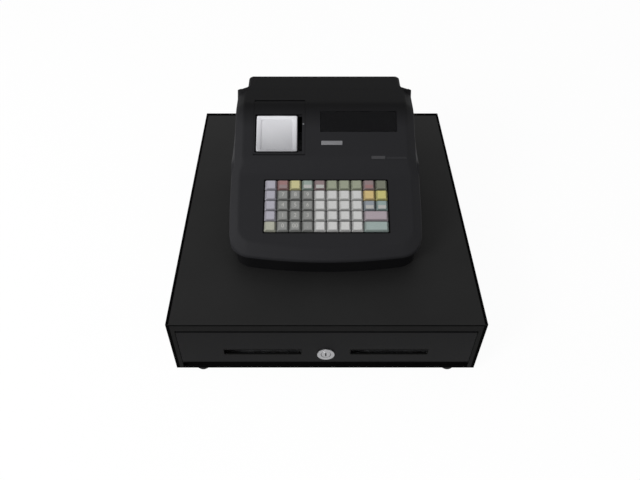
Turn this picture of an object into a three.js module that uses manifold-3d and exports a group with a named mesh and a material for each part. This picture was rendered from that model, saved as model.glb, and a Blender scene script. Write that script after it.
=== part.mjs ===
// An electronic cash register on a wide cash drawer, in millimetres.
// X runs to the right, Y from the drawer front to the rear, Z up from the counter.
// Depths in the source are measured back from the face of the drawer front, and the
// whole model is shifted at the end so that the origin lies under its middle.

import * as THREE from 'three';
import { mergeVertices } from 'three/addons/utils/BufferGeometryUtils.js';
import Module from 'manifold-3d';

const wasm = await Module();
wasm.setup();

// Fits shared by the whole machine
const fitGap = 0.3;
const runGap = 0.4;
const overrun = 4;
const hangGap = 0.6;
const roundSides = 20;
const smallSides = 12;
const rollSides = 24;
const hubSides = 18;
const wireSides = 5;

// Drawer case
const caseWidth = 400;
const caseDepth = 450;
const caseHeight = 97;
const footHeight = 9;
const sheet = 1.2;
const lipHeight = 13;
const sideFrame = 9.4;
const sillHeight = 4;
const baseFlange = 12;

// Feet
const footRadius = 11;
const footToeRadius = 10;
const footBore = 2.2;
const footInset = 34;
const footFrontDepth = 12.5;
const footRearInset = 30;

// Drawer front
const panelGap = 7;
const panelLipGap = 3.5;
const panelDepth = 13.7;
const panelFace = 2.2;
const panelReturn = 1.4;
const slotStart = 32;
const slotLength = 101;
const slotHeight = 10.5;
const slotRise = 4;

// Lock
const lockRise = 22.5;
const bezelRadius = 11.5;
const bezelProud = 2;
const barrelRadius = 9.5;
const barrelEnd = 26;
const plugRadius = 6.2;
const plugRecess = 0.4;
const plugTail = 5;
const plugTailRadius = 2.5;
const keywayWidth = 1.6;
const keywayHeight = 7;
const keywayDepth = 6;
const camThickness = 2;
const camFloorGap = 2.3;
const camHalfWidth = 6;
const camPathLength = 8;
const catchHeight = 4.4;
const catchHalfWidth = 10;
const catchLead = 2.3;

// Drawer tray
const traySideRoom = 20;
const trayLift = 4.8;
const trayHeadroom = 22;
const mouthMargin = 5;
const runnerReach = 9.6;
const runnerDrop = 8.9;
const runnerInset = 6;

// Rails and rollers
const railStart = 17;
const railRearRoom = 10;
const railLift = 13.8;
const railHeight = 29.2;
const railFlange = 15.5;
const rollerRadius = 8;
const rollerWidth = 6;
const rollerBore = 2.9;
const rollerPin = 2.5;
const frontRollerInset = 12;
const rearRollerInset = 15;

// Till insert
const insertHeight = 33.3;
const insertRim = 2;
const insertWall = 2.4;
const noteBayCount = 4;
const noteBayLength = 192;
const cupRows = 2;
const cupFloorRadius = 26;
const cupFloorShare = 0.45;
const cupFloorSteps = 5;

// Note clips
const clipAxleRadius = 2;
const clipAxleInset = 12;
const clipAxleDrop = 6.3;
const clipHubRadius = 4;
const clipReach = 70;
const clipDrop = 21;
const clipThickness = 1.6;
const clipWidth = 26;
const clipToe = 6;

// Latch at the rear of the drawer
const strikerHalfWidth = 15;
const strikerShelfHalfWidth = 8;
const strikerHeight = 16;
const strikerShelfDrop = 10;
const strikerReach = 18;
const strikerLip = 10;
const latchSpan = 40;
const hookPivotDrop = 18;
const hookHalfWidth = 5;
const hookArmRise = 3;
const hookArmThickness = 4;
const hookGrip = 9.3;
const hookRearRoom = 20;
const hookNose = 5;
const hookNoseDrop = 3;
const hookHub = 5;
const hookTail = 14;
const hookRelease = THREE.MathUtils.degToRad(12);
const pivotRadius = 2;
const cheekInner = 8;
const cheekThickness = 1.5;
const cheekLead = 9;
const cheekRise = 5;
const coilHalfLength = 7;
const coilHalfWidth = 7.4;
const coilLift = 3.8;
const coilDrop = 22;
const plungerSetback = 10;
const plungerRadius = 3.4;
const plungerSeat = 10;
const plungerHang = 5.2;

// Eject spring
const springSide = 60;
const springRise = 35;
const springRadius = 6;
const springWire = 1.2;
const springTurns = 7;
const springSteps = 8;
const springPost = 4;
const springPostReach = 30;

// Register body, with depths from the drawer's face and heights from the top of the case
const bodyFront = 80.5;
const bodyHalfWidth = 128.5;
const frontTaper = 1;
const hoodStep = 3.9;
const bowRadius = 600;
const cornerRadius = 32;
const roofRun = 37;
const notchRun = 8;
const tailRun = 28;
const notchInset = 18.5;
const rearCorner = 6.5;
const skirtHeight = 24;
const skirtEdge = 1.5;
const waistRise = 1;
const rimWidth = 12;
const rimRise = 9.5;
const hoodWall = 2.6;
const hoodRoof = 3.2;
const cornerSteps = 6;
const bowSteps = 4;
const rimSteps = 3;
const rearRimShare = 1 / 4;
const cornerShares = [1 / 6, 1 / 2, 5 / 6];

// Side profile of the hood as runs and rises: nose, keyboard deck, riser, display face and crown
const noseRun = 12.5;
const noseRise = 15;
const deckRun = 99;
const deckRise = 44;
const riserRun = 12;
const riserRise = 14;
const faceRun = 68;
const faceRise = 34;
const crownRun = 8;
const crownRise = 3;

// Base pan
const panInset = 6;
const panCorner = 10;
const panWall = 2.4;
const panFlange = 2.4;
const bossRadius = 3.5;
const boardHeight = 8;
const boardThickness = 1.6;
const boardWidth = 120;
const boardSideRoom = 28.5;
const boardLength = 110;
const boardRearRoom = 28;
const chipSide = 24;
const chipHeight = 3;
const plugBlockWidth = 12;
const plugBlockHeight = 6;
const bossInset = 7;

// Power inlet
const inletSideRoom = 40;
const inletBottom = 4;
const inletWidth = 22;
const inletHeight = 16;
const inletDepth = 18;
const socketWidth = 16;
const socketHeight = 9;
const socketDepth = 12;

// Keyboard, measured along the deck from its front edge
const keyPitchX = 16.4;
const keyPitchY = 14.8;
const keyGap = 1.4;
const keyColumns = 10;
const keyRows = 5;
const keyMiddleX = 0.8;
const keyMiddleS = 59.6;
const keyTop = 3.2;
const keyShoulder = 1.4;
const keyFoot = 3;
const keyBevel = 1.4;
const stemWidth = 6;
const stemLength = 5;
const stemDepth = 9.5;
const webThickness = 0.9;
const keyBorder = 1;
const frameMargin = 6;
const frameTop = 6;
const frameThickness = 1.8;
const frameWall = 1.8;
const frameDepth = 12.2;
const keyBoardThickness = 1.6;
const padColumn = 1;
const padColumns = 3;
const padRow = 1;
const wideColumn = 8;
const padNames = ['7', '8', '9', '4', '5', '6', '1', '2', '3', '0', '00', 'point'];
const wideNames = ['subtotal', 'total'];

// Display, measured along the display face from its front edge
const displayGap = 21.1;
const displaySideRoom = 26.2;
const displayStart = 41;
const displayLength = 31;
const lensThickness = 2.2;
const moduleMargin = 3;
const moduleThickness = 4;
const rearLensHalfWidth = 52;
const rearLensHeight = 22;
const rearLensDrop = 10;

// Printer cover and its window
const coverSideRoom = 26.6;
const coverWidth = 70.3;
const coverLead = 7;
const paperSlot = 2;
const coverPivotSetback = 4;
const coverPivotDrop = 4.2;
const hingePin = 2;
const hingePinReach = 3.4;
const hingeBoss = 4;
const hingeBossDrop = 5;
const windowInset = 3.9;
const windowWidth = 55.8;
const windowStart = 11.8;
const windowLength = 53.6;
const windowRim = 2;
const notchSpace = 1.5;
const notchWidth = 5.2;
const notchMargin = 0.6;

// Printer
const plateThickness = 1.6;
const plateOutset = 3;
const plateInset = 3.3;
const plateLead = 4;
const plateDrop = 9;
const rollRearRoom = 33.5;
const rollDrop = 8.5;
const rollRadius = 23;
const rollCore = 6;
const rollLeftRoom = 4.5;
const rollRightRoom = 8;
const binWall = 1.6;
const binSteps = 12;
const binFrom = THREE.MathUtils.degToRad(207);
const platenLead = 3;
const platenDrop = 6.6;
const platenRadius = 5.8;
const platenShaft = 2;
const platenGearTeeth = 16;
const platenGearRadius = 6.2;
const toothDepth = 1.4;
const toothShares = [[-1 / 5, 0], [-1 / 12, 1], [1 / 12, 1], [1 / 5, 0]];
const gearWidth = 4;
const feedGearTeeth = 10;
const feedGearBore = 1.8;
const feedShaft = 1.5;
const feedTurn = THREE.MathUtils.degToRad(-60);
const motorRadius = 9;
const motorLength = 6.5;
const headLead = 9.4;
const headThickness = 3;
const headDrop = 10.4;
const headHeight = 11;
const tearLead = 1;
const tearLap = 3;
const tearThickness = 0.8;
const tearTooth = 3;
const tearDepth = 0.9;

// Derived places
const caseTop = footHeight + caseHeight;
const halfCase = caseWidth / 2;
const openingHalf = halfCase - sideFrame;
const panelBottom = footHeight + sillHeight + panelGap;
const panelTop = caseTop - lipHeight - panelLipGap;
const panelHalf = openingHalf - hangGap;
const rearWallStart = caseDepth - sheet;
const baseTop = footHeight + sheet;
const frontY = (bezelProud - caseDepth) / 2;
const footRearDepth = caseDepth - footRearInset;
const lockCentre = panelBottom + lockRise;
const slotCentre = lockCentre + slotRise;
const camReach = lockCentre - baseTop - camFloorGap;
const hookPivotDepth = caseDepth - hookRearRoom;
const trayHalfWidth = halfCase - traySideRoom;
const trayStart = panelDepth + fitGap;
const trayEnd = hookPivotDepth - latchSpan;
const trayBottom = baseTop + trayLift;
const trayTop = caseTop - trayHeadroom;
const railEnd = caseDepth - railRearRoom;
const railBottom = baseTop + railLift;
const railTop = railBottom + railHeight;
const runnerStart = trayStart + runnerInset;
const runnerHeight = railTop - runnerDrop;
const frontRollerDepth = railStart + frontRollerInset;
const rearRollerDepth = trayEnd - rearRollerInset;
const hookPivotHeight = trayTop - hookPivotDrop;
const hookReach = latchSpan - fitGap - strikerReach + hookGrip;
const strikerShelf = hookPivotHeight - strikerShelfDrop;
const strikerBottom = strikerShelf - strikerHeight;
const plungerDepth = hookPivotDepth + plungerSetback;
const cheekStart = hookPivotDepth - cheekLead;
const cheekEnd = plungerDepth + coilHalfLength;
const cheekTop = hookPivotHeight + cheekRise;
const coilStart = plungerDepth - coilHalfLength;
const coilBottom = baseTop + coilLift;
const coilTop = hookPivotHeight - coilDrop;
const plungerBottom = coilBottom + plungerSeat;
const plungerTop = hookPivotHeight - plungerHang;
const springHeight = trayBottom + springRise;

// Derived places of the register
const bodyFrontHalfWidth = bodyHalfWidth - frontTaper;
const hoodHalfWidth = bodyHalfWidth - hoodStep;
const notchHalfWidth = bodyHalfWidth - notchInset;
const deckStart = bodyFront + noseRun;
const deckEnd = deckStart + deckRun;
const faceStart = deckEnd + riserRun;
const faceEnd = faceStart + faceRun;
const topStart = faceEnd + crownRun;
const notchStart = topStart + roofRun;
const notchEnd = notchStart + notchRun;
const bodyEnd = notchEnd + tailRun;
const deckStartHeight = skirtHeight + noseRise;
const deckEndHeight = deckStartHeight + deckRise;
const faceStartHeight = deckEndHeight + riserRise;
const faceEndHeight = faceStartHeight + faceRise;
const topHeight = faceEndHeight + crownRise;
const waistHeight = deckEndHeight + waistRise;
const deckSlope = Math.atan2(deckRise, deckRun);
const faceSlope = Math.atan2(faceRise, faceRun);
const boardRight = bodyHalfWidth - boardSideRoom;
const boardLeft = boardRight - boardWidth;
const boardEnd = bodyEnd - boardRearRoom;
const boardStart = boardEnd - boardLength;
const inletCentre = notchHalfWidth - inletSideRoom;
const displayRight = hoodHalfWidth - displaySideRoom;
const rearLensTop = topHeight - rearLensDrop;
const rearLensBottom = rearLensTop - rearLensHeight;
const coverLeft = coverSideRoom - hoodHalfWidth;
const coverRight = coverLeft + coverWidth;
const displayLeft = coverRight + displayGap;
const coverStart = faceStart + coverLead;
const coverPivotDepth = topStart + coverPivotSetback;
const coverPivotHeight = topHeight - coverPivotDrop;
const windowLeft = coverLeft + windowInset;
const windowRight = windowLeft + windowWidth;
const notchLeft = windowRight + notchSpace;
const notchRight = notchLeft + notchWidth;
const plateLeft = coverLeft - plateOutset;
const plateRight = coverRight - plateInset;
const plateStart = coverStart - plateLead;
const plateEnd = coverPivotDepth;
const rollDepth = plateEnd - rollRearRoom;
const rollHeight = faceStartHeight - rollDrop;
const rollLeft = plateLeft + rollLeftRoom;
const rollRight = plateRight - rollRightRoom;
const platenDepth = coverStart + platenLead;
const platenHeight = faceStartHeight - platenDrop;
const headDepth = platenDepth - headLead;
const headBottom = platenHeight - headDrop;
const headTop = headBottom + headHeight;

// A box between two corners.
function box(x0, x1, y0, y1, z0, z1) {
  const geometry = new THREE.BoxGeometry(x1 - x0, y1 - y0, z1 - z0);
  return geometry.translate((x0 + x1) / 2, (y0 + y1) / 2, (z0 + z1) / 2);
}

// An outline of [y, z] points run along X.
function prismX(outline, x0, x1, holes = []) {
  const geometry = extrude(outline, x1 - x0, holes);
  const turn = new THREE.Matrix4().makeBasis(
    new THREE.Vector3(0, 1, 0),
    new THREE.Vector3(0, 0, 1),
    new THREE.Vector3(1, 0, 0),
  );
  return geometry.applyMatrix4(turn).translate(x0, 0, 0);
}

// An outline of [x, y] points run along Z.
function prismZ(outline, z0, z1, holes = []) {
  return extrude(outline, z1 - z0, holes).translate(0, 0, z0);
}

function extrude(outline, length, holes) {
  const shape = new THREE.Shape(outline.map(([u, v]) => new THREE.Vector2(u, v)));
  for (const hole of holes) {
    shape.holes.push(new THREE.Path(hole.map(([u, v]) => new THREE.Vector2(u, v))));
  }
  return new THREE.ExtrudeGeometry(shape, { depth: length, bevelEnabled: false });
}

// Points round a circle or part of one.
function arc(u, v, radius, from, to, steps) {
  return Array.from({ length: steps + 1 }, (_, i) => {
    const angle = from + ((to - from) * i) / steps;
    return [u + radius * Math.cos(angle), v + radius * Math.sin(angle)];
  });
}

function circle(u, v, radius, sides) {
  return arc(u, v, radius, 0, 2 * Math.PI, sides).slice(0, sides);
}

function rodX(radius, x0, x1, y, z, sides = roundSides) {
  const rod = new THREE.CylinderGeometry(radius, radius, x1 - x0, sides);
  return rod.rotateZ(-Math.PI / 2).translate((x0 + x1) / 2, y, z);
}

function rodY(radius, y0, y1, x, z, sides = roundSides) {
  const rod = new THREE.CylinderGeometry(radius, radius, y1 - y0, sides);
  return rod.translate(x, (y0 + y1) / 2, z);
}

function rodZ(radius, z0, z1, x, y, sides = roundSides) {
  const rod = new THREE.CylinderGeometry(radius, radius, z1 - z0, sides);
  return rod.rotateX(Math.PI / 2).translate(x, y, (z0 + z1) / 2);
}

// Joins, cuts and common parts of closed geometries.
function solidOf(geometry) {
  const bare = new THREE.BufferGeometry();
  bare.setAttribute('position', geometry.getAttribute('position').clone());
  if (geometry.index) {
    bare.setIndex(geometry.index.clone());
  }
  const merged = mergeVertices(bare);
  return new wasm.Manifold(
    new wasm.Mesh({
      numProp: 3,
      vertProperties: Float32Array.from(merged.getAttribute('position').array),
      triVerts: Uint32Array.from(merged.index.array),
    }),
  );
}

function geometryOf(solid) {
  const mesh = solid.getMesh();
  const geometry = new THREE.BufferGeometry();
  geometry.setAttribute('position', new THREE.BufferAttribute(Float32Array.from(mesh.vertProperties), 3));
  geometry.setIndex(Array.from(mesh.triVerts));
  geometry.computeVertexNormals();
  return geometry;
}

function join(...parts) {
  return geometryOf(parts.map(solidOf).reduce((whole, part) => whole.add(part)));
}

function cut(base, ...cutters) {
  return geometryOf(cutters.map(solidOf).reduce((rest, cutter) => rest.subtract(cutter), solidOf(base)));
}

function common(a, b) {
  return geometryOf(solidOf(a).intersect(solidOf(b)));
}

// A closed skin over rings of equal point counts. A ring lists the right half of a symmetric
// outline from front to rear and then the left half back again, and pairs close both ends.
function skin(rings) {
  const count = rings[0].length;
  const positions = rings.flat(2);
  const index = [];
  for (let k = 0; k + 1 < rings.length; k += 1) {
    for (let i = 0; i < count; i += 1) {
      const j = (i + 1) % count;
      const a = k * count + i;
      const b = k * count + j;
      index.push(a, b, b + count, a, b + count, a + count);
    }
  }
  const top = (rings.length - 1) * count;
  for (let i = 0; i + 1 < count / 2; i += 1) {
    const mirror = count - 1 - i;
    index.push(i, mirror, mirror - 1, i, mirror - 1, i + 1);
    index.push(top + i, top + mirror - 1, top + mirror, top + i, top + i + 1, top + mirror - 1);
  }
  const geometry = new THREE.BufferGeometry();
  geometry.setAttribute('position', new THREE.Float32BufferAttribute(positions, 3));
  geometry.setIndex(index);
  return geometry;
}

function finish(color, roughness, metalness = 0) {
  return new THREE.MeshStandardMaterial({ color, roughness, metalness });
}

function place(parent, name, geometry, material, origin = [0, 0, 0]) {
  const mesh = new THREE.Mesh(geometry, material);
  mesh.name = name;
  mesh.position.set(...origin);
  parent.add(mesh);
  return mesh;
}

const finishes = {
  caseEnamel: () => finish(0x252525, 0.55),
  panelEnamel: () => finish(0x242424, 0.5),
  zincSteel: () => finish(0x9a9c9e, 0.45, 0.8),
  rubber: () => finish(0x151515, 0.9),
  nylon: () => finish(0xd8d6cc, 0.6),
  insertPlastic: () => finish(0x1b1b1c, 0.6),
  springSteel: () => finish(0x8a8c8e, 0.35, 0.9),
  chrome: () => finish(0xc8c8ca, 0.2, 1),
  hoodPlastic: () => finish(0x28282a, 0.6),
  panPlastic: () => finish(0x1c1c1e, 0.7),
  clearPlastic: () => finish(0xd0d0d4, 0.15),
  smokedPlastic: () => finish(0x17171a, 0.12),
  board: () => finish(0x1f5a36, 0.5),
  displayGlass: () => finish(0x3a4038, 0.2),
  paper: () => finish(0xf0f0ee, 0.85),
  frameGrey: () => finish(0x4a4c50, 0.6),
  darkKey: () => finish(0x6c6c6e, 0.55),
  paleKey: () => finish(0xb8b8ba, 0.55),
  pinkKey: () => finish(0xa88890, 0.55),
  mintKey: () => finish(0x9cb0a8, 0.55),
};

// The painted steel case: a wrap for top and sides with the lip and frames of its front, and a base.
function makeCase(machine) {
  const inner = halfCase - sheet;
  const wrap = box(-halfCase, halfCase, 0, caseDepth, footHeight, caseTop);
  const under = footHeight - overrun;
  const hollow = box(-inner, inner, sheet, caseDepth + overrun, under, caseTop - sheet);
  const mouth = box(-openingHalf, openingHalf, -overrun, sheet + overrun, under, caseTop - lipHeight);
  place(machine, 'case_cover', cut(wrap, hollow, mouth), finishes.caseEnamel());

  const baseHalf = inner - fitGap;
  const sillHalf = openingHalf - fitGap;
  const floorStart = sheet + fitGap;
  const catchDepth = barrelEnd + camThickness - catchLead - sheet;
  const postStart = rearWallStart - springPostReach;
  const base = join(
    box(-baseHalf, baseHalf, floorStart, caseDepth, footHeight, baseTop),
    box(-sillHalf, sillHalf, 0, floorStart + sheet, footHeight, baseTop),
    box(-sillHalf, sillHalf, 0, sheet, footHeight, footHeight + sillHeight),
    box(-baseHalf, sheet - baseHalf, floorStart, caseDepth, footHeight, baseTop + baseFlange),
    box(baseHalf - sheet, baseHalf, floorStart, caseDepth, footHeight, baseTop + baseFlange),
    box(-baseHalf, baseHalf, rearWallStart, caseDepth, footHeight, caseTop - sheet - fitGap),
    box(-catchHalfWidth, catchHalfWidth, catchDepth, catchDepth + sheet, footHeight, baseTop + catchHeight),
    rodY(springPost, postStart, rearWallStart + sheet / 2, -springSide, springHeight, smallSides),
  );
  place(machine, 'case_base', base, finishes.caseEnamel());
}

function makeFeet(machine) {
  const profile = [
    [footBore, 0],
    [footToeRadius, 0],
    [footRadius, footHeight],
    [footBore, footHeight],
    [footBore, 0],
  ];
  const sides = { left: footInset - halfCase, right: halfCase - footInset };
  const ends = { front: footFrontDepth, rear: footRearDepth };
  for (const [end, depth] of Object.entries(ends)) {
    for (const [side, x] of Object.entries(sides)) {
      const foot = new THREE.LatheGeometry(profile.map(([r, z]) => new THREE.Vector2(r, z)), roundSides);
      foot.rotateX(Math.PI / 2);
      place(machine, `foot_${end}_${side}`, foot, finishes.rubber(), [x, depth, 0]);
    }
  }
}

// A rail and two rollers on each side: the front roller turns on the rail, the rear one on the tray.
function makeRails(machine, drawer) {
  const webOuter = halfCase - sheet - fitGap;
  const webInner = webOuter - sheet;
  const flangeInner = webOuter - railFlange;
  const frontHeight = runnerHeight - fitGap - rollerRadius;
  const rearHeight = railBottom + sheet + fitGap + rollerRadius;
  const rollerOuter = webOuter - railFlange / 2;
  const rollerInner = rollerOuter - rollerWidth;
  for (const [name, way] of [['left', -1], ['right', 1]]) {
    const across = (a, b) => [Math.min(way * a, way * b), Math.max(way * a, way * b)];
    const rail = join(
      box(...across(webInner, webOuter), railStart, railEnd, railBottom, railTop),
      box(...across(flangeInner, webOuter), railStart, railEnd, railBottom, railBottom + sheet),
      box(...across(flangeInner, webOuter), railStart, railEnd, railTop - sheet, railTop),
      rodX(
        rollerPin, ...across(rollerInner, webInner + sheet / 2), frontRollerDepth, frontHeight, smallSides,
      ),
    );
    place(machine, `rail_${name}`, rail, finishes.zincSteel());
    const wheel = (depth, height) => prismX(
      circle(depth, height, rollerRadius, roundSides),
      ...across(rollerInner, rollerOuter),
      [circle(depth, height, rollerBore, smallSides).reverse()],
    );
    place(machine, `roller_front_${name}`, wheel(frontRollerDepth, frontHeight), finishes.nylon());
    place(drawer, `roller_rear_${name}`, wheel(rearRollerDepth, rearHeight), finishes.nylon());
  }
}

function makeTray(drawer) {
  const half = trayHalfWidth;
  const inner = half - sheet;
  const front = trayStart + sheet;
  const rear = trayEnd - sheet;
  const runnerOuter = half + runnerReach;
  const pinHeight = railBottom + sheet + fitGap + rollerRadius;
  const shell = cut(
    box(-half, half, trayStart, trayEnd, trayBottom, trayTop),
    box(-inner, inner, front, rear, trayBottom + sheet, trayTop + overrun),
  );
  const mouthHalf = slotStart + slotLength + mouthMargin;
  const mouthRise = barrelRadius + mouthMargin;
  const camPath = camHalfWidth + runGap;
  const camPathEnd = barrelEnd + camPathLength;
  const camTip = Math.hypot(camReach, camHalfWidth / 2);
  const camSwing = Math.sqrt(camTip ** 2 - (lockCentre - trayBottom - sheet) ** 2) + runGap;
  const tray = cut(
    join(
      shell,
      box(-runnerOuter, sheet / 2 - half, runnerStart, trayEnd, runnerHeight, runnerHeight + sheet),
      box(half - sheet / 2, runnerOuter, runnerStart, trayEnd, runnerHeight, runnerHeight + sheet),
      rodX(rollerPin, -runnerOuter, sheet / 2 - half, rearRollerDepth, pinHeight, smallSides),
      rodX(rollerPin, half - sheet / 2, runnerOuter, rearRollerDepth, pinHeight, smallSides),
    ),
    box(
      -mouthHalf, mouthHalf, trayStart - overrun, front + overrun,
      lockCentre - mouthRise, lockCentre + mouthRise,
    ),
    box(-camPath, camSwing, barrelEnd, camPathEnd, trayBottom - overrun, trayBottom + sheet + overrun),
  );
  place(drawer, 'drawer_tray', tray, finishes.zincSteel());
}

function makeDrawerFront(drawer) {
  const inner = panelHalf - panelReturn;
  const slotEdge = slotHeight / 2;
  const slot = (x0) => box(
    x0, x0 + slotLength, -overrun, panelFace + overrun, slotCentre - slotEdge, slotCentre + slotEdge,
  );
  const panel = cut(
    box(-panelHalf, panelHalf, 0, panelDepth, panelBottom, panelTop),
    box(-inner, inner, panelFace, panelDepth + overrun, panelBottom + panelReturn, panelTop - panelReturn),
    slot(slotStart),
    slot(-slotStart - slotLength),
    rodY(barrelRadius + fitGap, -overrun, panelFace + overrun, 0, lockCentre),
  );
  place(drawer, 'drawer_front', panel, finishes.panelEnamel());
}

// The lock: a bezel with its barrel, the plug that turns in it, and the cam on the plug's tail.
function makeLock(drawer) {
  const bore = plugRadius + runGap;
  const bezel = cut(
    join(
      rodY(bezelRadius, -bezelProud, 0, 0, lockCentre),
      rodY(barrelRadius, -bezelProud / 2, barrelEnd, 0, lockCentre),
    ),
    rodY(bore, -overrun - bezelProud, barrelEnd + overrun, 0, lockCentre),
  );
  place(drawer, 'lock_bezel', bezel, finishes.chrome());

  const plugFront = plugRecess - bezelProud;
  const plugRear = barrelEnd + runGap;
  const halfKey = keywayHeight / 2;
  const plug = cut(
    join(
      rodY(plugRadius, plugFront, plugRear, 0, lockCentre),
      rodY(plugTailRadius, plugRear - sheet, plugRear + plugTail, 0, lockCentre, smallSides),
    ),
    box(
      -keywayWidth / 2, keywayWidth / 2, plugFront - overrun, plugFront + keywayDepth,
      lockCentre - halfKey, lockCentre + halfKey,
    ),
  );
  place(drawer, 'lock_plug', plug, finishes.chrome());

  const camStart = plugRear + fitGap;
  const camEnd = camStart + camThickness;
  const cam = cut(
    join(
      rodY(camHalfWidth, camStart, camEnd, 0, lockCentre),
      box(0, camReach, camStart, camEnd, lockCentre - camHalfWidth / 2, lockCentre + camHalfWidth / 2),
    ),
    rodY(plugTailRadius + fitGap, camStart - overrun, camEnd + overrun, 0, lockCentre, smallSides),
  );
  place(drawer, 'lock_cam', cam, finishes.zincSteel());
}

// The till insert hangs by its rim on the tray's walls, with note bays behind rows of coin cups.
const bayWidth = (2 * (trayHalfWidth - sheet - hangGap) - (noteBayCount + 1) * insertWall) / noteBayCount;
const insertHalf = trayHalfWidth - sheet - hangGap;
const insertStart = trayStart + sheet + hangGap;
const insertEnd = trayEnd - sheet - hangGap;
const insertTop = trayTop + fitGap + insertRim;
const insertBottom = insertTop - insertHeight;
const bayEnd = insertEnd - insertWall;
const bayStart = bayEnd - noteBayLength;
const cupLength = (bayStart - insertStart - (cupRows + 1) * insertWall) / cupRows;
const cupBend = Math.min(cupFloorRadius, cupLength * cupFloorShare);
const axleDepth = insertEnd - clipAxleInset;
const axleHeight = insertTop - clipAxleDrop;
const bayLeft = (i) => insertWall - insertHalf + i * (bayWidth + insertWall);

function makeInsert(drawer) {
  const floor = insertBottom + insertWall;
  const middle = floor + cupBend;
  const down = 1.5 * Math.PI;
  const body = join(
    box(-insertHalf, insertHalf, insertStart, insertEnd, insertBottom, insertTop),
    box(-trayHalfWidth, trayHalfWidth, trayStart, trayEnd, insertTop - insertRim, insertTop),
  );
  const cutters = [];
  for (let i = 0; i < noteBayCount; i += 1) {
    const x0 = bayLeft(i);
    cutters.push(box(x0, x0 + bayWidth, bayStart, bayEnd, floor, insertTop + overrun));
    for (let row = 0; row < cupRows; row += 1) {
      const y0 = insertStart + insertWall + row * (cupLength + insertWall);
      const y1 = y0 + cupLength;
      const bowl = [
        [y1, insertTop + overrun],
        [y0, insertTop + overrun],
        ...arc(y0 + cupBend, middle, cupBend, Math.PI, down, cupFloorSteps),
        ...arc(y1 - cupBend, middle, cupBend, down, 2 * Math.PI, cupFloorSteps),
      ];
      cutters.push(prismX(bowl, x0, x0 + bayWidth));
    }
  }
  const boreHalf = insertHalf - fitGap;
  cutters.push(rodX(clipAxleRadius + fitGap, -boreHalf, boreHalf, axleDepth, axleHeight, smallSides));
  place(drawer, 'till_insert', cut(body, ...cutters), finishes.insertPlastic());
  const axleHalf = insertHalf - insertWall / 2;
  const axle = rodX(clipAxleRadius, -axleHalf, axleHalf, axleDepth, axleHeight, smallSides);
  place(drawer, 'clip_axle', axle, finishes.zincSteel());
}

// Each note clip is a bent strip that turns on the axle and presses on the notes.
function makeClips(drawer) {
  const half = clipThickness / 2;
  const slope = Math.atan2(clipDrop, clipReach);
  const across = [half * Math.sin(slope), half * Math.cos(slope)];
  const opening = Math.PI - Math.asin(half / clipHubRadius);
  const hub = arc(0, 0, clipHubRadius, slope - opening, slope + opening, hubSides);
  const outline = [
    ...hub,
    [-clipReach + across[0], -clipDrop + across[1]],
    [-clipReach - clipToe, -clipDrop + clipToe],
    [-clipReach - clipToe, -clipDrop + clipToe - clipThickness],
    [-clipReach - across[0], -clipDrop - across[1]],
  ].map(([y, z]) => [y + axleDepth, z + axleHeight]);
  const bore = circle(axleDepth, axleHeight, clipAxleRadius + fitGap, smallSides).reverse();
  for (let i = 0; i < noteBayCount; i += 1) {
    const middle = bayLeft(i) + bayWidth / 2;
    const clip = prismX(outline, middle - clipWidth / 2, middle + clipWidth / 2, [bore]);
    place(drawer, `note_clip_${i + 1}`, clip, finishes.springSteel());
  }
}

// The striker on the tray, the hook that catches it, and the solenoid that lifts the hook.
function makeLatch(machine, drawer) {
  const plateStart = trayEnd + fitGap;
  const shelfEnd = plateStart + strikerReach;
  const shelfTop = strikerShelf + sheet;
  const striker = join(
    box(-strikerHalfWidth, strikerHalfWidth, plateStart, plateStart + sheet, strikerBottom, shelfTop),
    box(-strikerShelfHalfWidth, strikerShelfHalfWidth, plateStart, shelfEnd, strikerShelf, shelfTop),
    box(
      -strikerShelfHalfWidth, strikerShelfHalfWidth, shelfEnd - sheet, shelfEnd,
      strikerShelf, strikerShelf + strikerLip,
    ),
  );
  place(drawer, 'drawer_striker', striker, finishes.zincSteel());

  const cheekOuter = cheekInner + cheekThickness;
  const bridgeHalf = cheekInner + sheet / 2;
  const cheek = (way) => box(
    Math.min(way * cheekInner, way * cheekOuter), Math.max(way * cheekInner, way * cheekOuter),
    cheekStart, cheekEnd, baseTop, cheekTop,
  );
  const coil = box(-coilHalfWidth, coilHalfWidth, coilStart, cheekEnd, coilBottom, coilTop);
  const frame = join(
    box(-cheekOuter, cheekOuter, cheekStart, cheekEnd, baseTop, baseTop + sheet),
    cheek(-1),
    cheek(1),
    rodX(pivotRadius, -bridgeHalf, bridgeHalf, hookPivotDepth, hookPivotHeight, smallSides),
    box(-coilHalfWidth / 2, coilHalfWidth / 2, coilStart, cheekEnd, baseTop, coilBottom + sheet),
    box(-bridgeHalf, bridgeHalf, coilStart, cheekEnd, coilBottom, coilBottom + sheet),
    coil,
  );
  const bore = rodZ(plungerRadius + runGap, plungerBottom - runGap, coilTop + overrun, 0, plungerDepth);
  place(machine, 'latch_solenoid', cut(frame, bore), finishes.zincSteel());

  const noseTop = hookArmRise + hookArmThickness;
  const hookOutline = [
    [hookTail, -hookArmThickness / 2],
    [hookTail, hookArmThickness / 2],
    [hookHub, hookArmRise],
    [hookHub / 2, noseTop],
    [-hookReach, noseTop],
    [-hookReach, -hookNoseDrop],
    [hookNose - hookReach, -hookNoseDrop],
    [hookNose - hookReach, hookArmRise],
    [-hookHub, hookArmRise],
    [-hookHub, -hookArmThickness / 2],
    [0, -hookHub],
  ];
  const hookBore = circle(0, 0, pivotRadius + fitGap, smallSides).reverse();
  const hook = prismX(hookOutline, -hookHalfWidth, hookHalfWidth, [hookBore]);
  const pivot = [0, hookPivotDepth, hookPivotHeight];
  place(machine, 'latch_hook', hook, finishes.zincSteel(), pivot).rotation.x = -hookRelease;
  const plunger = rodZ(plungerRadius, plungerBottom, plungerTop, 0, plungerDepth);
  place(machine, 'solenoid_plunger', plunger, finishes.springSteel());
}

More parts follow.
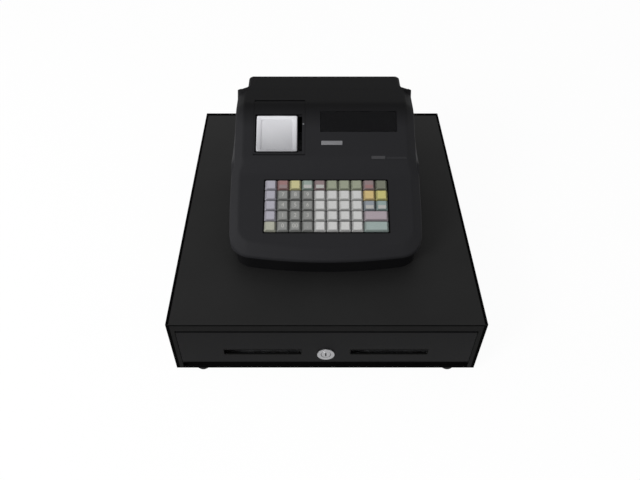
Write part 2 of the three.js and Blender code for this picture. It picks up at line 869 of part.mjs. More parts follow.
function makeEjectSpring(machine) {
  const start = trayEnd + hangGap + springWire / 2;
  const end = rearWallStart - hangGap - springWire / 2;
  const steps = springTurns * springSteps;
  const coils = Array.from({ length: steps + 1 }, (_, i) => {
    const turn = (2 * Math.PI * i) / springSteps;
    const along = start + ((end - start) * i) / steps;
    return new THREE.Vector3(springRadius * Math.cos(turn), along, springRadius * Math.sin(turn));
  });
  const section = circle(0, 0, springWire / 2, wireSides);
  const wire = new THREE.Shape(section.map(([u, v]) => new THREE.Vector2(u, v)));
  const spring = new THREE.ExtrudeGeometry(wire, {
    steps,
    bevelEnabled: false,
    extrudePath: new THREE.CatmullRomCurve3(coils),
  });
  place(machine, 'eject_spring', spring, finishes.springSteel(), [-springSide, 0, springHeight]);
}

// Height of the hood's surface over the case at a depth.
function profileHeight(depth) {
  const corners = [
    [deckStart, deckStartHeight],
    [deckEnd, deckEndHeight],
    [faceStart, faceStartHeight],
    [faceEnd, faceEndHeight],
    [topStart, topHeight],
  ];
  if (depth <= deckStart) {
    return deckStartHeight;
  }
  for (let i = 0; i + 1 < corners.length; i += 1) {
    const [y0, z0] = corners[i];
    const [y1, z1] = corners[i + 1];
    if (depth <= y1) {
      return z0 + ((z1 - z0) * (depth - y0)) / (y1 - y0);
    }
  }
  return topHeight;
}

// The right half of the body's plan, front to rear, for the wide base or the narrower hood.
function planHalf(upper, corner = rearCorner) {
  const narrow = upper ? bodyHalfWidth - hoodHalfWidth : 0;
  const bowCentre = bodyFront + bowRadius;
  const cornerX = bodyFrontHalfWidth - cornerRadius;
  const cornerY = bowCentre - Math.sqrt((bowRadius - cornerRadius) ** 2 - cornerX ** 2);
  const bowAngle = Math.asin(cornerX / (bowRadius - cornerRadius));
  const bow = Array.from({ length: bowSteps }, (_, i) => {
    const angle = (bowAngle * (i + 1 / 2)) / bowSteps;
    return [bowRadius * Math.sin(angle), bowCentre - bowRadius * Math.cos(angle)];
  });
  const frontCorner = arc(cornerX, cornerY, cornerRadius, bowAngle - Math.PI / 2, 0, cornerSteps);
  const side = [deckEnd, faceStart, faceEnd, topStart].map((depth) => {
    const pull = depth >= faceStart ? narrow : 0;
    return [bodyHalfWidth - pull, depth];
  });
  const turns = cornerShares.map((share) => (share * Math.PI) / 2);
  const rounded = (x, y) => turns.map((turn) => [
    x - corner + corner * Math.cos(turn),
    y - corner + corner * Math.sin(turn),
  ]);
  return [
    ...bow,
    ...frontCorner,
    ...side,
    ...rounded(bodyHalfWidth - narrow, notchStart + rearCorner / 2),
    [notchHalfWidth + sheet, notchEnd],
    [notchHalfWidth, notchEnd + rearCorner / 2],
    ...rounded(notchHalfWidth, bodyEnd),
  ];
}

// The whole plan ring drawn in by a distance of its own at each point.
function planRing(half, insetAt) {
  const ring = [...half, ...half.map(([x, y]) => [-x, y]).reverse()];
  const count = ring.length;
  return ring.map(([x, y], i) => {
    const [px, py] = ring[(i + count - 1) % count];
    const [nx, ny] = ring[(i + 1) % count];
    const before = new THREE.Vector2(x - px, y - py).normalize();
    const after = new THREE.Vector2(nx - x, ny - y).normalize();
    const beside = y >= deckEnd && y <= topStart;
    const along = beside ? new THREE.Vector2(0, Math.sign(after.y)) : before.clone().add(after).normalize();
    const stretch = beside ? 1 : 1 / Math.max(along.dot(after), Math.SQRT1_2);
    const inset = insetAt(y) * stretch;
    return [x - along.y * inset, y + along.x * inset];
  });
}

// Rings of the hood's outside, or of its inside when a wall and roof are given.
function hoodRings(wall, roof, bottom, bottomEdge) {
  const lower = planHalf(false);
  const upper = planHalf(true);
  const rimShare = (depth) => (depth > notchStart ? rearRimShare : 1);
  const edgeHeight = (depth) => profileHeight(depth) - rimRise * rimShare(depth);
  const waist = (depth) => Math.min(waistHeight, edgeHeight(depth) - skirtEdge) - roof;
  const flat = planRing(lower, () => wall + bottomEdge).map(([x, y]) => [x, y, bottom]);
  const edge = planRing(lower, () => wall).map(([x, y]) => [x, y, bottom + skirtEdge]);
  const belt = planRing(lower, () => wall).map(([x, y]) => [x, y, waist(y)]);
  const rims = Array.from({ length: rimSteps + 1 }, (_, k) => {
    const turn = (Math.PI * k) / (2 * rimSteps);
    const ring = planRing(upper, (depth) => wall + rimWidth * rimShare(depth) * (1 - Math.cos(turn)));
    return ring.map(([x, y]) => {
      const drop = rimRise * rimShare(y) * (1 - Math.sin(turn));
      return [x, y, profileHeight(y) - drop - roof];
    });
  });
  return [flat, edge, belt, ...rims];
}

const onDeck = new THREE.Matrix4()
  .makeTranslation(0, deckStart, deckStartHeight)
  .multiply(new THREE.Matrix4().makeRotationX(deckSlope));
const onFace = new THREE.Matrix4()
  .makeTranslation(0, faceStart, faceStartHeight)
  .multiply(new THREE.Matrix4().makeRotationX(faceSlope));

const keyFieldHalfX = (keyColumns * keyPitchX - keyGap) / 2;
const keyFieldHalfS = (keyRows * keyPitchY - keyGap) / 2;

const hoodOuter = skin(hoodRings(0, 0, skirtHeight, skirtEdge));
const hoodInner = skin(hoodRings(hoodWall, hoodRoof, skirtHeight - overrun, skirtEdge));
const coverRear = coverPivotDepth + coverPivotDrop + runGap;
const displayCut = (margin, from, to) => box(
  displayLeft - margin, displayRight + margin,
  displayStart - margin, displayStart + displayLength + margin, from, to,
);

function makeHood(register) {
  const keyMouth = box(
    keyMiddleX - keyFieldHalfX - keyBorder, keyMiddleX + keyFieldHalfX + keyBorder,
    keyMiddleS - keyFieldHalfS - keyBorder, keyMiddleS + keyFieldHalfS + keyBorder,
    -overrun, overrun,
  ).applyMatrix4(onDeck);
  const printerMouth = box(
    coverLeft - runGap, coverRight + runGap, coverStart - paperSlot, coverRear,
    faceStartHeight - overrun, topHeight + overrun,
  );
  const bossHeight = coverPivotHeight - hingeBossDrop;
  const boss = (x0) => box(
    x0, x0 + hingeBoss, coverPivotDepth - hingeBossDrop, coverPivotDepth + hingeBossDrop,
    bossHeight, topHeight - hoodRoof / 2,
  );
  const pinBore = hingePin + runGap;
  const pinLeft = coverLeft - hingeBoss - 2 * runGap;
  const pinRight = coverRight + hingeBoss + 2 * runGap;
  const rearWindow = box(
    -rearLensHalfWidth - fitGap, rearLensHalfWidth + fitGap, bodyEnd - hoodWall - overrun, bodyEnd + overrun,
    rearLensBottom - fitGap, rearLensTop + fitGap,
  );
  const hood = cut(
    join(
      cut(hoodOuter, hoodInner, printerMouth),
      boss(coverLeft - runGap - hingeBoss),
      boss(coverRight + runGap),
    ),
    keyMouth,
    displayCut(runGap, -overrun, overrun).applyMatrix4(onFace),
    rearWindow,
    rodX(pinBore, pinLeft, pinRight, coverPivotDepth, coverPivotHeight, smallSides),
  );
  place(register, 'hood', hood, finishes.hoodPlastic());
}

// The printer cover is the piece of skin over the paper bay, with a barrel and pins along its rear edge.
function makePrinterCover(register) {
  const region = box(
    coverLeft, coverRight, coverStart, coverPivotDepth, faceStartHeight - overrun, topHeight + overrun,
  );
  const plate = cut(common(hoodOuter, region), hoodInner);
  const windowHole = box(
    windowLeft - fitGap, windowRight + fitGap,
    windowStart - fitGap, windowStart + windowLength + fitGap, -overrun, overrun,
  ).applyMatrix4(onFace);
  const seatSide = notchSpace / 3;
  const windowSeat = box(
    windowLeft - windowRim, windowRight + seatSide, windowStart - windowRim,
    windowStart + windowLength + windowRim, -hoodRoof - overrun, -hoodRoof / 2,
  ).applyMatrix4(onFace);
  const fingerNotch = box(
    notchLeft, notchRight,
    windowStart + notchMargin, windowStart + windowLength - notchMargin, -overrun, overrun,
  ).applyMatrix4(onFace);
  const pinLeft = coverLeft - hingePinReach;
  const pinRight = coverRight + hingePinReach;
  const cover = join(
    cut(plate, windowHole, windowSeat, fingerNotch),
    rodX(coverPivotDrop, coverLeft, coverRight, coverPivotDepth, coverPivotHeight),
    rodX(hingePin, pinLeft, pinRight, coverPivotDepth, coverPivotHeight, smallSides),
  );
  place(register, 'printer_cover', cover, finishes.hoodPlastic());

  const rim = windowRim - fitGap;
  const lens = join(
    box(windowLeft, windowRight, windowStart, windowStart + windowLength, -hoodRoof / 2 - sheet, 0),
    box(
      windowLeft - rim, windowRight + seatSide - fitGap, windowStart - rim,
      windowStart + windowLength + rim, -hoodRoof / 2 - sheet, -hoodRoof / 2 - fitGap,
    ),
  ).applyMatrix4(onFace);
  place(register, 'cover_window', lens, finishes.clearPlastic());
}

function makeDisplays(register) {
  const face = new THREE.Group();
  face.position.set(0, faceStart, faceStartHeight);
  face.rotation.x = faceSlope;
  register.add(face);
  place(face, 'display_lens', displayCut(0, -lensThickness, 0), finishes.smokedPlastic());
  const moduleTop = -hoodRoof - fitGap;
  const module = displayCut(moduleMargin, moduleTop - moduleThickness, moduleTop);
  place(face, 'display_module', module, finishes.displayGlass());
  const rearLens = box(
    -rearLensHalfWidth, rearLensHalfWidth, bodyEnd - hoodWall, bodyEnd, rearLensBottom, rearLensTop,
  );
  place(register, 'rear_display_lens', rearLens, finishes.smokedPlastic());
}

function makePan(register) {
  const plan = (inset) => planRing(planHalf(false, panCorner), () => inset);
  const outer = plan(panInset);
  const inner = plan(panInset + panWall);
  const flange = plan(skirtEdge);
  const flangeTop = skirtHeight - fitGap;
  const bosses = [boardLeft + bossInset, boardRight - bossInset].flatMap((x) => [
    rodZ(bossRadius, panWall / 2, boardHeight - fitGap, x, boardStart + bossInset, smallSides),
    rodZ(bossRadius, panWall / 2, boardHeight - fitGap, x, boardEnd - bossInset, smallSides),
  ]);
  const wall = cut(
    join(prismZ(outer, 0, flangeTop), prismZ(flange, flangeTop - panFlange, flangeTop)),
    prismZ(inner, panWall, skirtHeight + overrun),
  );
  const inletHole = box(
    inletCentre - inletWidth / 2 - fitGap, inletCentre + inletWidth / 2 + fitGap,
    bodyEnd - panInset - panWall - overrun, bodyEnd,
    inletBottom - fitGap, inletBottom + inletHeight + fitGap,
  );
  place(register, 'base_pan', cut(join(wall, ...bosses), inletHole), finishes.panPlastic());

  const inletEnd = bodyEnd - panInset;
  const socketMiddle = inletBottom + inletHeight / 2;
  const inlet = cut(
    box(
      inletCentre - inletWidth / 2, inletCentre + inletWidth / 2, inletEnd - inletDepth, inletEnd,
      inletBottom, inletBottom + inletHeight,
    ),
    box(
      inletCentre - socketWidth / 2, inletCentre + socketWidth / 2,
      inletEnd - socketDepth, inletEnd + overrun,
      socketMiddle - socketHeight / 2, socketMiddle + socketHeight / 2,
    ),
  );
  place(register, 'power_inlet', inlet, finishes.panPlastic());
}

function makeMainBoard(register) {
  const top = boardHeight + boardThickness;
  const middleX = (boardLeft + boardRight) / 2;
  const middleY = (boardStart + boardEnd) / 2;
  const board = join(
    box(boardLeft, boardRight, boardStart, boardEnd, boardHeight, top),
    box(
      middleX - chipSide / 2, middleX + chipSide / 2, middleY - chipSide / 2, middleY + chipSide / 2,
      boardHeight + boardThickness / 2, top + chipHeight,
    ),
    box(
      middleX + chipSide, middleX + chipSide + plugBlockWidth, boardStart + 2 * bossInset, middleY,
      boardHeight + boardThickness / 2, top + plugBlockHeight,
    ),
  );
  place(register, 'main_board', board, finishes.board());
}

// A key: a stem and a cap that narrows to its top.
function keyGeometry(width, length) {
  const ring = (halfX, halfS, height) => [
    [halfX, -halfS, height],
    [halfX, halfS, height],
    [-halfX, halfS, height],
    [-halfX, -halfS, height],
  ];
  return skin([
    ring(stemWidth / 2, stemLength / 2, -stemDepth),
    ring(stemWidth / 2, stemLength / 2, -keyFoot),
    ring(width / 2, length / 2, -keyFoot),
    ring(width / 2, length / 2, keyShoulder),
    ring(width / 2 - keyBevel, length / 2 - keyBevel, keyTop),
  ]);
}

function keyPlace(column, row) {
  const x = keyMiddleX + (column - (keyColumns - 1) / 2) * keyPitchX;
  const s = keyMiddleS - (row - (keyRows - 1) / 2) * keyPitchY;
  return [x, s];
}

function makeKeyboard(register) {
  const deck = new THREE.Group();
  deck.position.set(0, deckStart, deckStartHeight);
  deck.rotation.x = deckSlope;
  register.add(deck);
  const keyWidth = keyPitchX - keyGap;
  const keyLength = keyPitchY - keyGap;
  const stems = [];
  const fixed = [];
  const isPad = (column, row) => column >= padColumn && column < padColumn + padColumns && row >= padRow;
  const wideRow = keyRows - wideNames.length;
  const isWide = (column, row) => column >= wideColumn && row >= wideRow;
  for (let row = 0; row < keyRows; row += 1) {
    for (let column = 0; column < keyColumns; column += 1) {
      const [x, s] = keyPlace(column, row);
      if (isPad(column, row)) {
        const label = padNames[(row - padRow) * padColumns + column - padColumn];
        place(deck, `key_${label}`, keyGeometry(keyWidth, keyLength), finishes.darkKey(), [x, s, 0]);
        stems.push([x, s]);
      } else if (isWide(column, row)) {
        if (column === wideColumn) {
          const middle = x + keyPitchX / 2;
          const label = wideNames[row - wideRow];
          const colour = row === wideRow ? finishes.pinkKey() : finishes.mintKey();
          place(deck, `key_${label}`, keyGeometry(keyWidth + keyPitchX, keyLength), colour, [middle, s, 0]);
          stems.push([middle, s]);
        }
      } else {
        fixed.push(keyGeometry(keyWidth, keyLength).translate(x, s, 0));
        stems.push([x, s]);
      }
    }
  }

  const web = (column0, column1, row0, row1) => {
    const [x0, s1] = keyPlace(column0, row0);
    const [x1, s0] = keyPlace(column1, row1);
    return box(
      x0 - keyWidth / 2, x1 + keyWidth / 2, s0 - keyLength / 2, s1 + keyLength / 2,
      -keyFoot, webThickness - keyFoot,
    );
  };
  const webs = [
    web(0, 0, 0, keyRows - 1),
    web(0, keyColumns - 1, 0, 0),
    web(padColumn + padColumns, wideColumn - 1, 0, keyRows - 1),
    web(wideColumn, keyColumns - 1, 0, wideRow - 1),
    web(wideColumn - 1, wideColumn, 0, wideRow - 1),
  ];
  place(deck, 'function_keys', join(...webs, ...fixed), finishes.paleKey());

  const outX = keyFieldHalfX + frameMargin;
  const outS = keyFieldHalfS + frameMargin;
  const inX = outX - frameWall;
  const inS = outS - frameWall;
  const holes = stems.map(([x, s]) => box(
    x - stemWidth / 2 - fitGap, x + stemWidth / 2 + fitGap,
    s - stemLength / 2 - fitGap, s + stemLength / 2 + fitGap,
    -frameTop - frameThickness - overrun, overrun - frameTop,
  ));
  const field = (halfX, halfS, from, to) => box(
    keyMiddleX - halfX, keyMiddleX + halfX, keyMiddleS - halfS, keyMiddleS + halfS, from, to,
  );
  const frame = cut(
    join(
      cut(
        field(outX, outS, -frameDepth, -hoodRoof - fitGap),
        field(inX, inS, -frameDepth - overrun, overrun),
      ),
      field(outX - frameWall / 2, outS - frameWall / 2, -frameTop - frameThickness, -frameTop),
    ),
    ...holes,
  );
  place(deck, 'key_frame', frame, finishes.frameGrey());
  const boardTop = -frameDepth - fitGap;
  place(deck, 'key_board', field(outX, outS, boardTop - keyBoardThickness, boardTop), finishes.board());
}

// A toothed outline about a point, with a tooth or a gap at the given angle.
function gearOutline(y, z, radius, teeth, phase) {
  return Array.from({ length: teeth }, (_, i) => toothShares.map(([share, tip]) => {
    const angle = phase + (2 * Math.PI * (i + share)) / teeth;
    const reach = radius + (tip - 1 / 2) * toothDepth;
    return [y + reach * Math.cos(angle), z + reach * Math.sin(angle)];
  })).flat();
}

const feedGearRadius = (platenGearRadius * feedGearTeeth) / platenGearTeeth;
const gearDistance = platenGearRadius + feedGearRadius + fitGap;
const feedDepth = platenDepth + gearDistance * Math.cos(feedTurn);
const feedHeight = platenHeight + gearDistance * Math.sin(feedTurn);
const gearStart = plateRight + plateThickness + fitGap;

function makePrinter(register) {
  const underCover = (depth) => profileHeight(depth) - plateDrop;
  const plate = (x0) => prismX(
    [
      [plateStart, panWall + fitGap],
      [plateEnd, panWall + fitGap],
      [plateEnd, underCover(faceEnd)],
      [faceEnd, underCover(faceEnd)],
      [platenDepth + platenRadius, underCover(platenDepth + platenRadius)],
      [plateStart, underCover(plateStart)],
    ],
    x0,
    x0 + plateThickness,
  );
  const binInner = rollRadius + fitGap;
  const binOuter = binInner + binWall;
  const bin = [
    ...arc(rollDepth, rollHeight, binOuter, binFrom, 2 * Math.PI, binSteps),
    ...arc(rollDepth, rollHeight, binInner, binFrom, 2 * Math.PI, binSteps).reverse(),
  ];
  const frame = cut(
    join(
      plate(plateLeft),
      plate(plateRight),
      prismX(bin, plateLeft + plateThickness / 2, plateRight + plateThickness / 2),
      rodX(motorRadius, plateRight - motorLength, plateRight + plateThickness / 2, feedDepth, feedHeight),
      rodX(feedShaft, plateRight, gearStart + gearWidth, feedDepth, feedHeight, smallSides),
    ),
    rodX(
      platenShaft + fitGap, plateLeft - overrun, plateRight + overrun, platenDepth, platenHeight, smallSides,
    ),
  );
  place(register, 'printer_frame', frame, finishes.frameGrey());

  const insideLeft = plateLeft + plateThickness + fitGap;
  const insideRight = plateRight - fitGap;
  const head = box(insideLeft, insideRight, headDepth, headDepth + headThickness, headBottom, headTop);
  place(register, 'print_head', head, finishes.zincSteel());

  const platen = join(
    rodX(platenRadius, rollLeft, rollRight, platenDepth, platenHeight),
    rodX(platenShaft, plateLeft, gearStart + gearWidth, platenDepth, platenHeight, smallSides),
    prismX(
      gearOutline(platenDepth, platenHeight, platenGearRadius, platenGearTeeth, feedTurn),
      gearStart,
      gearStart + gearWidth,
    ),
  );
  place(register, 'platen_roller', platen, finishes.rubber());

  const feedPhase = feedTurn + Math.PI + Math.PI / feedGearTeeth;
  const feedGear = prismX(
    gearOutline(feedDepth, feedHeight, feedGearRadius, feedGearTeeth, feedPhase),
    gearStart,
    gearStart + gearWidth,
    [circle(feedDepth, feedHeight, feedGearBore, smallSides).reverse()],
  );
  place(register, 'feed_gear', feedGear, finishes.nylon());

  const roll = prismX(circle(rollDepth, rollHeight, rollRadius, rollSides), rollLeft, rollRight, [
    circle(rollDepth, rollHeight, rollCore, smallSides).reverse(),
  ]);
  place(register, 'paper_roll', roll, finishes.paper());
}

// The tear bar lies under the edge of the hood at the paper slot, with its teeth in the slot.
function makeTearBar(register) {
  const edge = (coverStart - paperSlot - faceStart) / Math.cos(faceSlope);
  const width = windowRight - windowLeft;
  const teeth = Math.round(width / tearTooth);
  const points = [];
  for (let i = 0; i < teeth; i += 1) {
    const x = windowRight - (width * i) / teeth;
    points.push([x, edge + tearLead - tearDepth], [x - width / teeth / 2, edge + tearLead]);
  }
  const outline = [
    [windowLeft, edge + tearLead - tearDepth],
    [windowLeft, edge - tearLap],
    [windowRight, edge - tearLap],
    ...points,
  ];
  const top = -hoodRoof - fitGap;
  const bar = prismZ(outline, top - tearThickness, top).applyMatrix4(onFace);
  place(register, 'tear_bar', bar, finishes.springSteel());
}

const machine = new THREE.Group();
machine.position.y = frontY;
const drawer = new THREE.Group();
machine.add(drawer);
const register = new THREE.Group();
register.position.z = caseTop;
machine.add(register);

makeCase(machine);
makeFeet(machine);
makeRails(machine, drawer);
makeTray(drawer);
makeDrawerFront(drawer);
makeLock(drawer);
makeInsert(drawer);
makeClips(drawer);
makeLatch(machine, drawer);
makeEjectSpring(machine);
makePan(register);
makeHood(register);
makePrinterCover(register);
makeDisplays(register);
makeKeyboard(register);
makePrinter(register);
makeTearBar(register);
makeMainBoard(register);

export default machine;
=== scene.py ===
"""Finishes and fine pieces of a ticket register that stands on its cash drawer.

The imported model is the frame. Every length is in metres and every place is the frame's own: X to the
right, Y from the drawer's front to the rear, Z up from the counter.
"""

import logging
import math
from abc import ABC, abstractmethod
from dataclasses import dataclass
from enum import Enum
from typing import Any, Callable, Sequence

import bmesh
import bpy
from mathutils import Matrix, Vector


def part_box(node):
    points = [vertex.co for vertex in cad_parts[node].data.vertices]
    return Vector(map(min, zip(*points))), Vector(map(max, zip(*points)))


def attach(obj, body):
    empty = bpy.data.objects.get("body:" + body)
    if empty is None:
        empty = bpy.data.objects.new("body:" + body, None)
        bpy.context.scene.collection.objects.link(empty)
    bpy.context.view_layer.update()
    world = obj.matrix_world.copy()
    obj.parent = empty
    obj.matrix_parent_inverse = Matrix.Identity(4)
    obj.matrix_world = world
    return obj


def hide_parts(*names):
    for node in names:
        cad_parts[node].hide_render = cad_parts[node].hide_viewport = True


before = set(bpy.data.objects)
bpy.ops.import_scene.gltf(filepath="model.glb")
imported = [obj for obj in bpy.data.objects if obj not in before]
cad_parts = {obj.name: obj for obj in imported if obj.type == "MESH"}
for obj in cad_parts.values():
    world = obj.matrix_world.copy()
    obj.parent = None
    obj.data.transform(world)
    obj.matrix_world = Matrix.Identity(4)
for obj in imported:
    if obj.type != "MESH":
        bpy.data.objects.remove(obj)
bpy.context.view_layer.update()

LOG = logging.getLogger("ticket_register")
MM = 0.001
FULL_TURN = 2 * math.pi
QUARTER_TURN = FULL_TURN / 4
# Edges sharper than this stay crisp or get a rounding
SMOOTH_ANGLE = math.radians(38)
# Points closer than this are one, in a finished piece and where a cut leaves crumbs
WELD_DISTANCE = 0.002 * MM
CUT_CRUMB = 0.01 * MM
# The least angle of an edge that a cut leaves in a surface
CUT_ANGLE = math.radians(50)
# The faces across a rounding, and the shape that makes it a quarter circle
EDGE_STEPS = 2
ROUND_PROFILE = 0.5
# Nearly all values of a noise lie between these
NOISE_RANGE = (0.3, 0.7)
# Sockets of a Mix node that mixes colours
MIX_FIRST, MIX_SECOND, MIX_RESULT = 6, 7, 2
WHITE_LIGHT = (1.0, 1.0, 1.0, 1.0)
NO_LIGHT = (0.0, 0.0, 0.0, 1.0)
Tree, Node, Socket = bpy.types.NodeTree, bpy.types.Node, bpy.types.NodeSocket
Piece = bpy.types.Object
Loop = list[bmesh.types.BMVert]
Point = tuple[float, float, float]
Pair = tuple[float, float]
Extent = tuple[float, float, float, float]
Ring = Sequence[Sequence[float]]


def channels(hex_colour: str) -> list[int]:
    """Splits a colour such as "#rrggbb" into its red, green and blue, from 0 to 255."""
    return [int(hex_colour[i:i + 2], 16) for i in (1, 3, 5)]


def linear(hex_colour: str) -> tuple[float, float, float, float]:
    """Turns an sRGB colour into linear light.

    Args:
        hex_colour: the colour as "#rrggbb".

    Returns:
        Red, green, blue and an alpha of 1.
    """
    toe, toe_slope, offset, power = 0.04045, 12.92, 0.055, 2.4
    red, green, blue = (
        c / toe_slope if c <= toe else ((c + offset) / (1 + offset)) ** power
        for c in (channel / 255 for channel in channels(hex_colour))
    )
    return red, green, blue, 1.0


def add_node(
    tree: Tree,
    kind: str,
    values: dict[Any, Any] | None = None,
    links: dict[Any, Socket] | None = None,
    **settings: Any,
) -> Node:
    """Adds a node with its settings, its constant inputs and its links.

    Args:
        tree: the node tree that gets it.
        kind: Blender's name for the node.
        values: constants for its input sockets, by name or number.
        links: sockets of other nodes that feed its inputs, by name or number.
        settings: the node's own properties.

    Returns:
        The new node.
    """
    node = tree.nodes.new(kind)
    for name, value in settings.items():
        setattr(node, name, value)
    for name, value in (values or {}).items():
        node.inputs[name].default_value = value
    for name, socket in (links or {}).items():
        tree.links.new(socket, node.inputs[name])
    return node


def place_noise(tree: Tree, size: float, detail: float = 3.0, stretch: Point = (1.0, 1.0, 1.0)) -> Socket:
    """Adds a noise that stays with the piece.

    Args:
        tree: the material's node tree.
        size: the size of one blotch, in metres.
        detail: how much finer noise lies on it.
        stretch: how many times shorter the blotches are along each axis.

    Returns:
        The noise as a value from 0 to 1.
    """
    place = add_node(tree, "ShaderNodeTexCoord")
    scaled = add_node(
        tree, "ShaderNodeMapping", values={"Scale": stretch}, links={"Vector": place.outputs["Object"]}
    )
    noise = add_node(
        tree,
        "ShaderNodeTexNoise",
        values={"Scale": 1.0 / size, "Detail": detail},
        links={"Vector": scaled.outputs["Vector"]},
    )
    return noise.outputs["Fac"]


def spread(tree: Tree, source: Socket, low: float, high: float) -> Socket:
    """Maps a noise onto a range.

    Args:
        tree: the material's node tree.
        source: a value from 0 to 1.
        low: what a low value becomes.
        high: what a high value becomes.

    Returns:
        The mapped value.
    """
    ramp = add_node(
        tree,
        "ShaderNodeMapRange",
        values={"From Min": NOISE_RANGE[0], "From Max": NOISE_RANGE[1], "To Min": low, "To Max": high},
        links={"Value": source},
    )
    return ramp.outputs["Result"]


def tint(tree: Tree, shader: Node, source: Socket, first: str, second: str) -> None:
    """Colours a shader by a value between two colours.

    Args:
        tree: the material's node tree.
        shader: the shader to colour.
        source: the value, from 0 to 1.
        first: the colour at 0.
        second: the colour at 1.
    """
    mix = add_node(
        tree,
        "ShaderNodeMix",
        values={MIX_FIRST: linear(first), MIX_SECOND: linear(second)},
        links={0: source},
        data_type="RGBA",
    )
    tree.links.new(mix.outputs[MIX_RESULT], shader.inputs["Base Color"])


def climb(tree: Tree, painted_light_span: Pair) -> Socket:
    """Gives a share that grows from 0 to 1 with height.

    Args:
        tree: the material's node tree.
        painted_light_span: the heights at 0 and at 1, in metres.

    Returns:
        The socket with the share.
    """
    place = add_node(tree, "ShaderNodeTexCoord")
    axes = add_node(tree, "ShaderNodeSeparateXYZ", links={"Vector": place.outputs["Object"]})
    rise = add_node(
        tree,
        "ShaderNodeMapRange",
        values={"From Min": painted_light_span[0], "From Max": painted_light_span[1]},
        links={"Value": axes.outputs["Z"]},
    )
    return rise.outputs["Result"]


def relief(tree: Tree, shader: Node, source: Socket, depth: float) -> None:
    """Lets a value stand out of the surface.

    Args:
        tree: the material's node tree.
        shader: the shader whose normal changes.
        source: the height, from 0 to 1.
        depth: the real height of 1, in metres.
    """
    bump = add_node(
        tree, "ShaderNodeBump", values={"Strength": 1.0, "Distance": depth}, links={"Height": source}
    )
    tree.links.new(bump.outputs["Normal"], shader.inputs["Normal"])


def shade(colour: str, factor: float) -> str:
    """Gives a lighter or darker neighbour of an sRGB colour.

    Args:
        colour: the colour as "#rrggbb".
        factor: what each channel is multiplied by.

    Returns:
        The new colour as "#rrggbb".
    """
    scaled = [min(255, round(channel * factor)) for channel in channels(colour)]
    return "#" + "".join(f"{channel:02x}" for channel in scaled)


def add_object(name: str, data: bpy.types.ID) -> Piece:
    """Adds an object to the scene.

    Args:
        name: its name.
        data: its mesh, text, lamp or camera.

    Returns:
        The object.
    """
    added = bpy.data.objects.new(name, data)
    bpy.context.scene.collection.objects.link(added)
    return added


def worked_out(piece: Piece) -> bpy.types.Mesh:
    """Works out an object's modifiers or text.

    Args:
        piece: the object.

    Returns:
        The result as a new mesh.
    """
    bpy.context.view_layer.update()
    ready = piece.evaluated_get(bpy.context.evaluated_depsgraph_get())
    return bpy.data.meshes.new_from_object(ready)


@dataclass(frozen=True)
class Finish(ABC):
    """What every finish has: its material's name, colour, gloss and slot."""

    name: str
    colour: str
    slot: str
    roughness: float = 0.5
    ior: float = 1.5
    metallic: float = 0.0
    specular: float = 0.5

    def material(self) -> bpy.types.Material:
        """Gives the finish's material, and builds it the first time.

        Returns:
            The material.
        """
        found = bpy.data.materials.get(self.name)
        if found:
            return found
        material = bpy.data.materials.new(self.name)
        material.use_nodes = True
        tree = material.node_tree
        shader = tree.nodes["Principled BSDF"]
        shader.inputs["Base Color"].default_value = linear(self.colour)
        shader.inputs["Roughness"].default_value = self.roughness
        shader.inputs["Metallic"].default_value = self.metallic
        shader.inputs["Specular IOR Level"].default_value = self.specular
        if not self.metallic:
            shader.inputs["IOR"].default_value = self.ior
        self.pattern(tree, shader)
        return material

    @abstractmethod
    def pattern(self, tree: Tree, shader: Node) -> None:
        """Adds what the surface shows besides its plain colour."""

    def vary_tone(self, tree: Tree, shader: Node, noise: Socket, shares: Pair) -> None:
        """Lets a noise darken and lighten the colour.

        Args:
            tree: the material's node tree.
            shader: the surface's shader.
            noise: the noise.
            shares: what the colour is multiplied by where the noise is low and where it is high.
        """
        darker, lighter = (shade(self.colour, share) for share in shares)
        tint(tree, shader, spread(tree, noise, 0.0, 1.0), darker, lighter)

    def vary_gloss(self, tree: Tree, shader: Node, noise: Socket, changes: Pair) -> None:
        """Lets a noise change the roughness.

        Args:
            tree: the material's node tree.
            shader: the surface's shader.
            noise: the noise.
            changes: what is added to the roughness where the noise is low and where it is high.
        """
        gloss = spread(tree, noise, self.roughness + changes[0], self.roughness + changes[1])
        tree.links.new(gloss, shader.inputs["Roughness"])


@dataclass(frozen=True)
class MouldedPlastic(Finish):
    """A moulded plastic with the fine spark-eroded grain of its mould."""

    grain: float = 0.55 * MM
    grain_depth: float = 0.02 * MM
    mottle: float = 55 * MM
    contrast: float = 0.07
    gloss_changes: Pair = (-0.06, 0.06)

    def pattern(self, tree: Tree, shader: Node) -> None:
        """Adds a fine grain that breaks up the gloss, and slow changes of tone as on a large moulding.

        Args:
            tree: the material's node tree.
            shader: the surface's shader.
        """
        fine = place_noise(tree, self.grain, detail=2.0)
        slow = place_noise(tree, self.mottle, detail=2.0)
        self.vary_tone(tree, shader, slow, (1 - self.contrast, 1 + self.contrast))
        self.vary_gloss(tree, shader, fine, self.gloss_changes)
        relief(tree, shader, fine, self.grain_depth)


@dataclass(frozen=True)
class PaintedLightPlastic(MouldedPlastic):
    """The same plastic on a tall piece, with painted light: its tone changes with height towards its head.
    """

    # painted light: the colour at the top, and the heights where the painted light starts and ends
    painted_light_top_colour: str = ""
    painted_light_span: Pair = (0.0, 1.0)

    def pattern(self, tree: Tree, shader: Node) -> None:
        """Adds the grain of the plastic, and painted light: a tone that changes with height, broken by slow
        clouds.

        Args:
            tree: the material's node tree.
            shader: the surface's shader.
        """
        super().pattern(tree, shader)
        slow = place_noise(tree, self.mottle, detail=2.0)
        # painted light: the colour moves towards the painted top colour with height
        share = add_node(
            tree,
            "ShaderNodeMath",
            values={1: self.contrast},
            links={0: slow, 2: climb(tree, self.painted_light_span)},
            operation="MULTIPLY_ADD",
            use_clamp=True,
        )
        tint(tree, shader, share.outputs[0], self.colour, self.painted_light_top_colour)


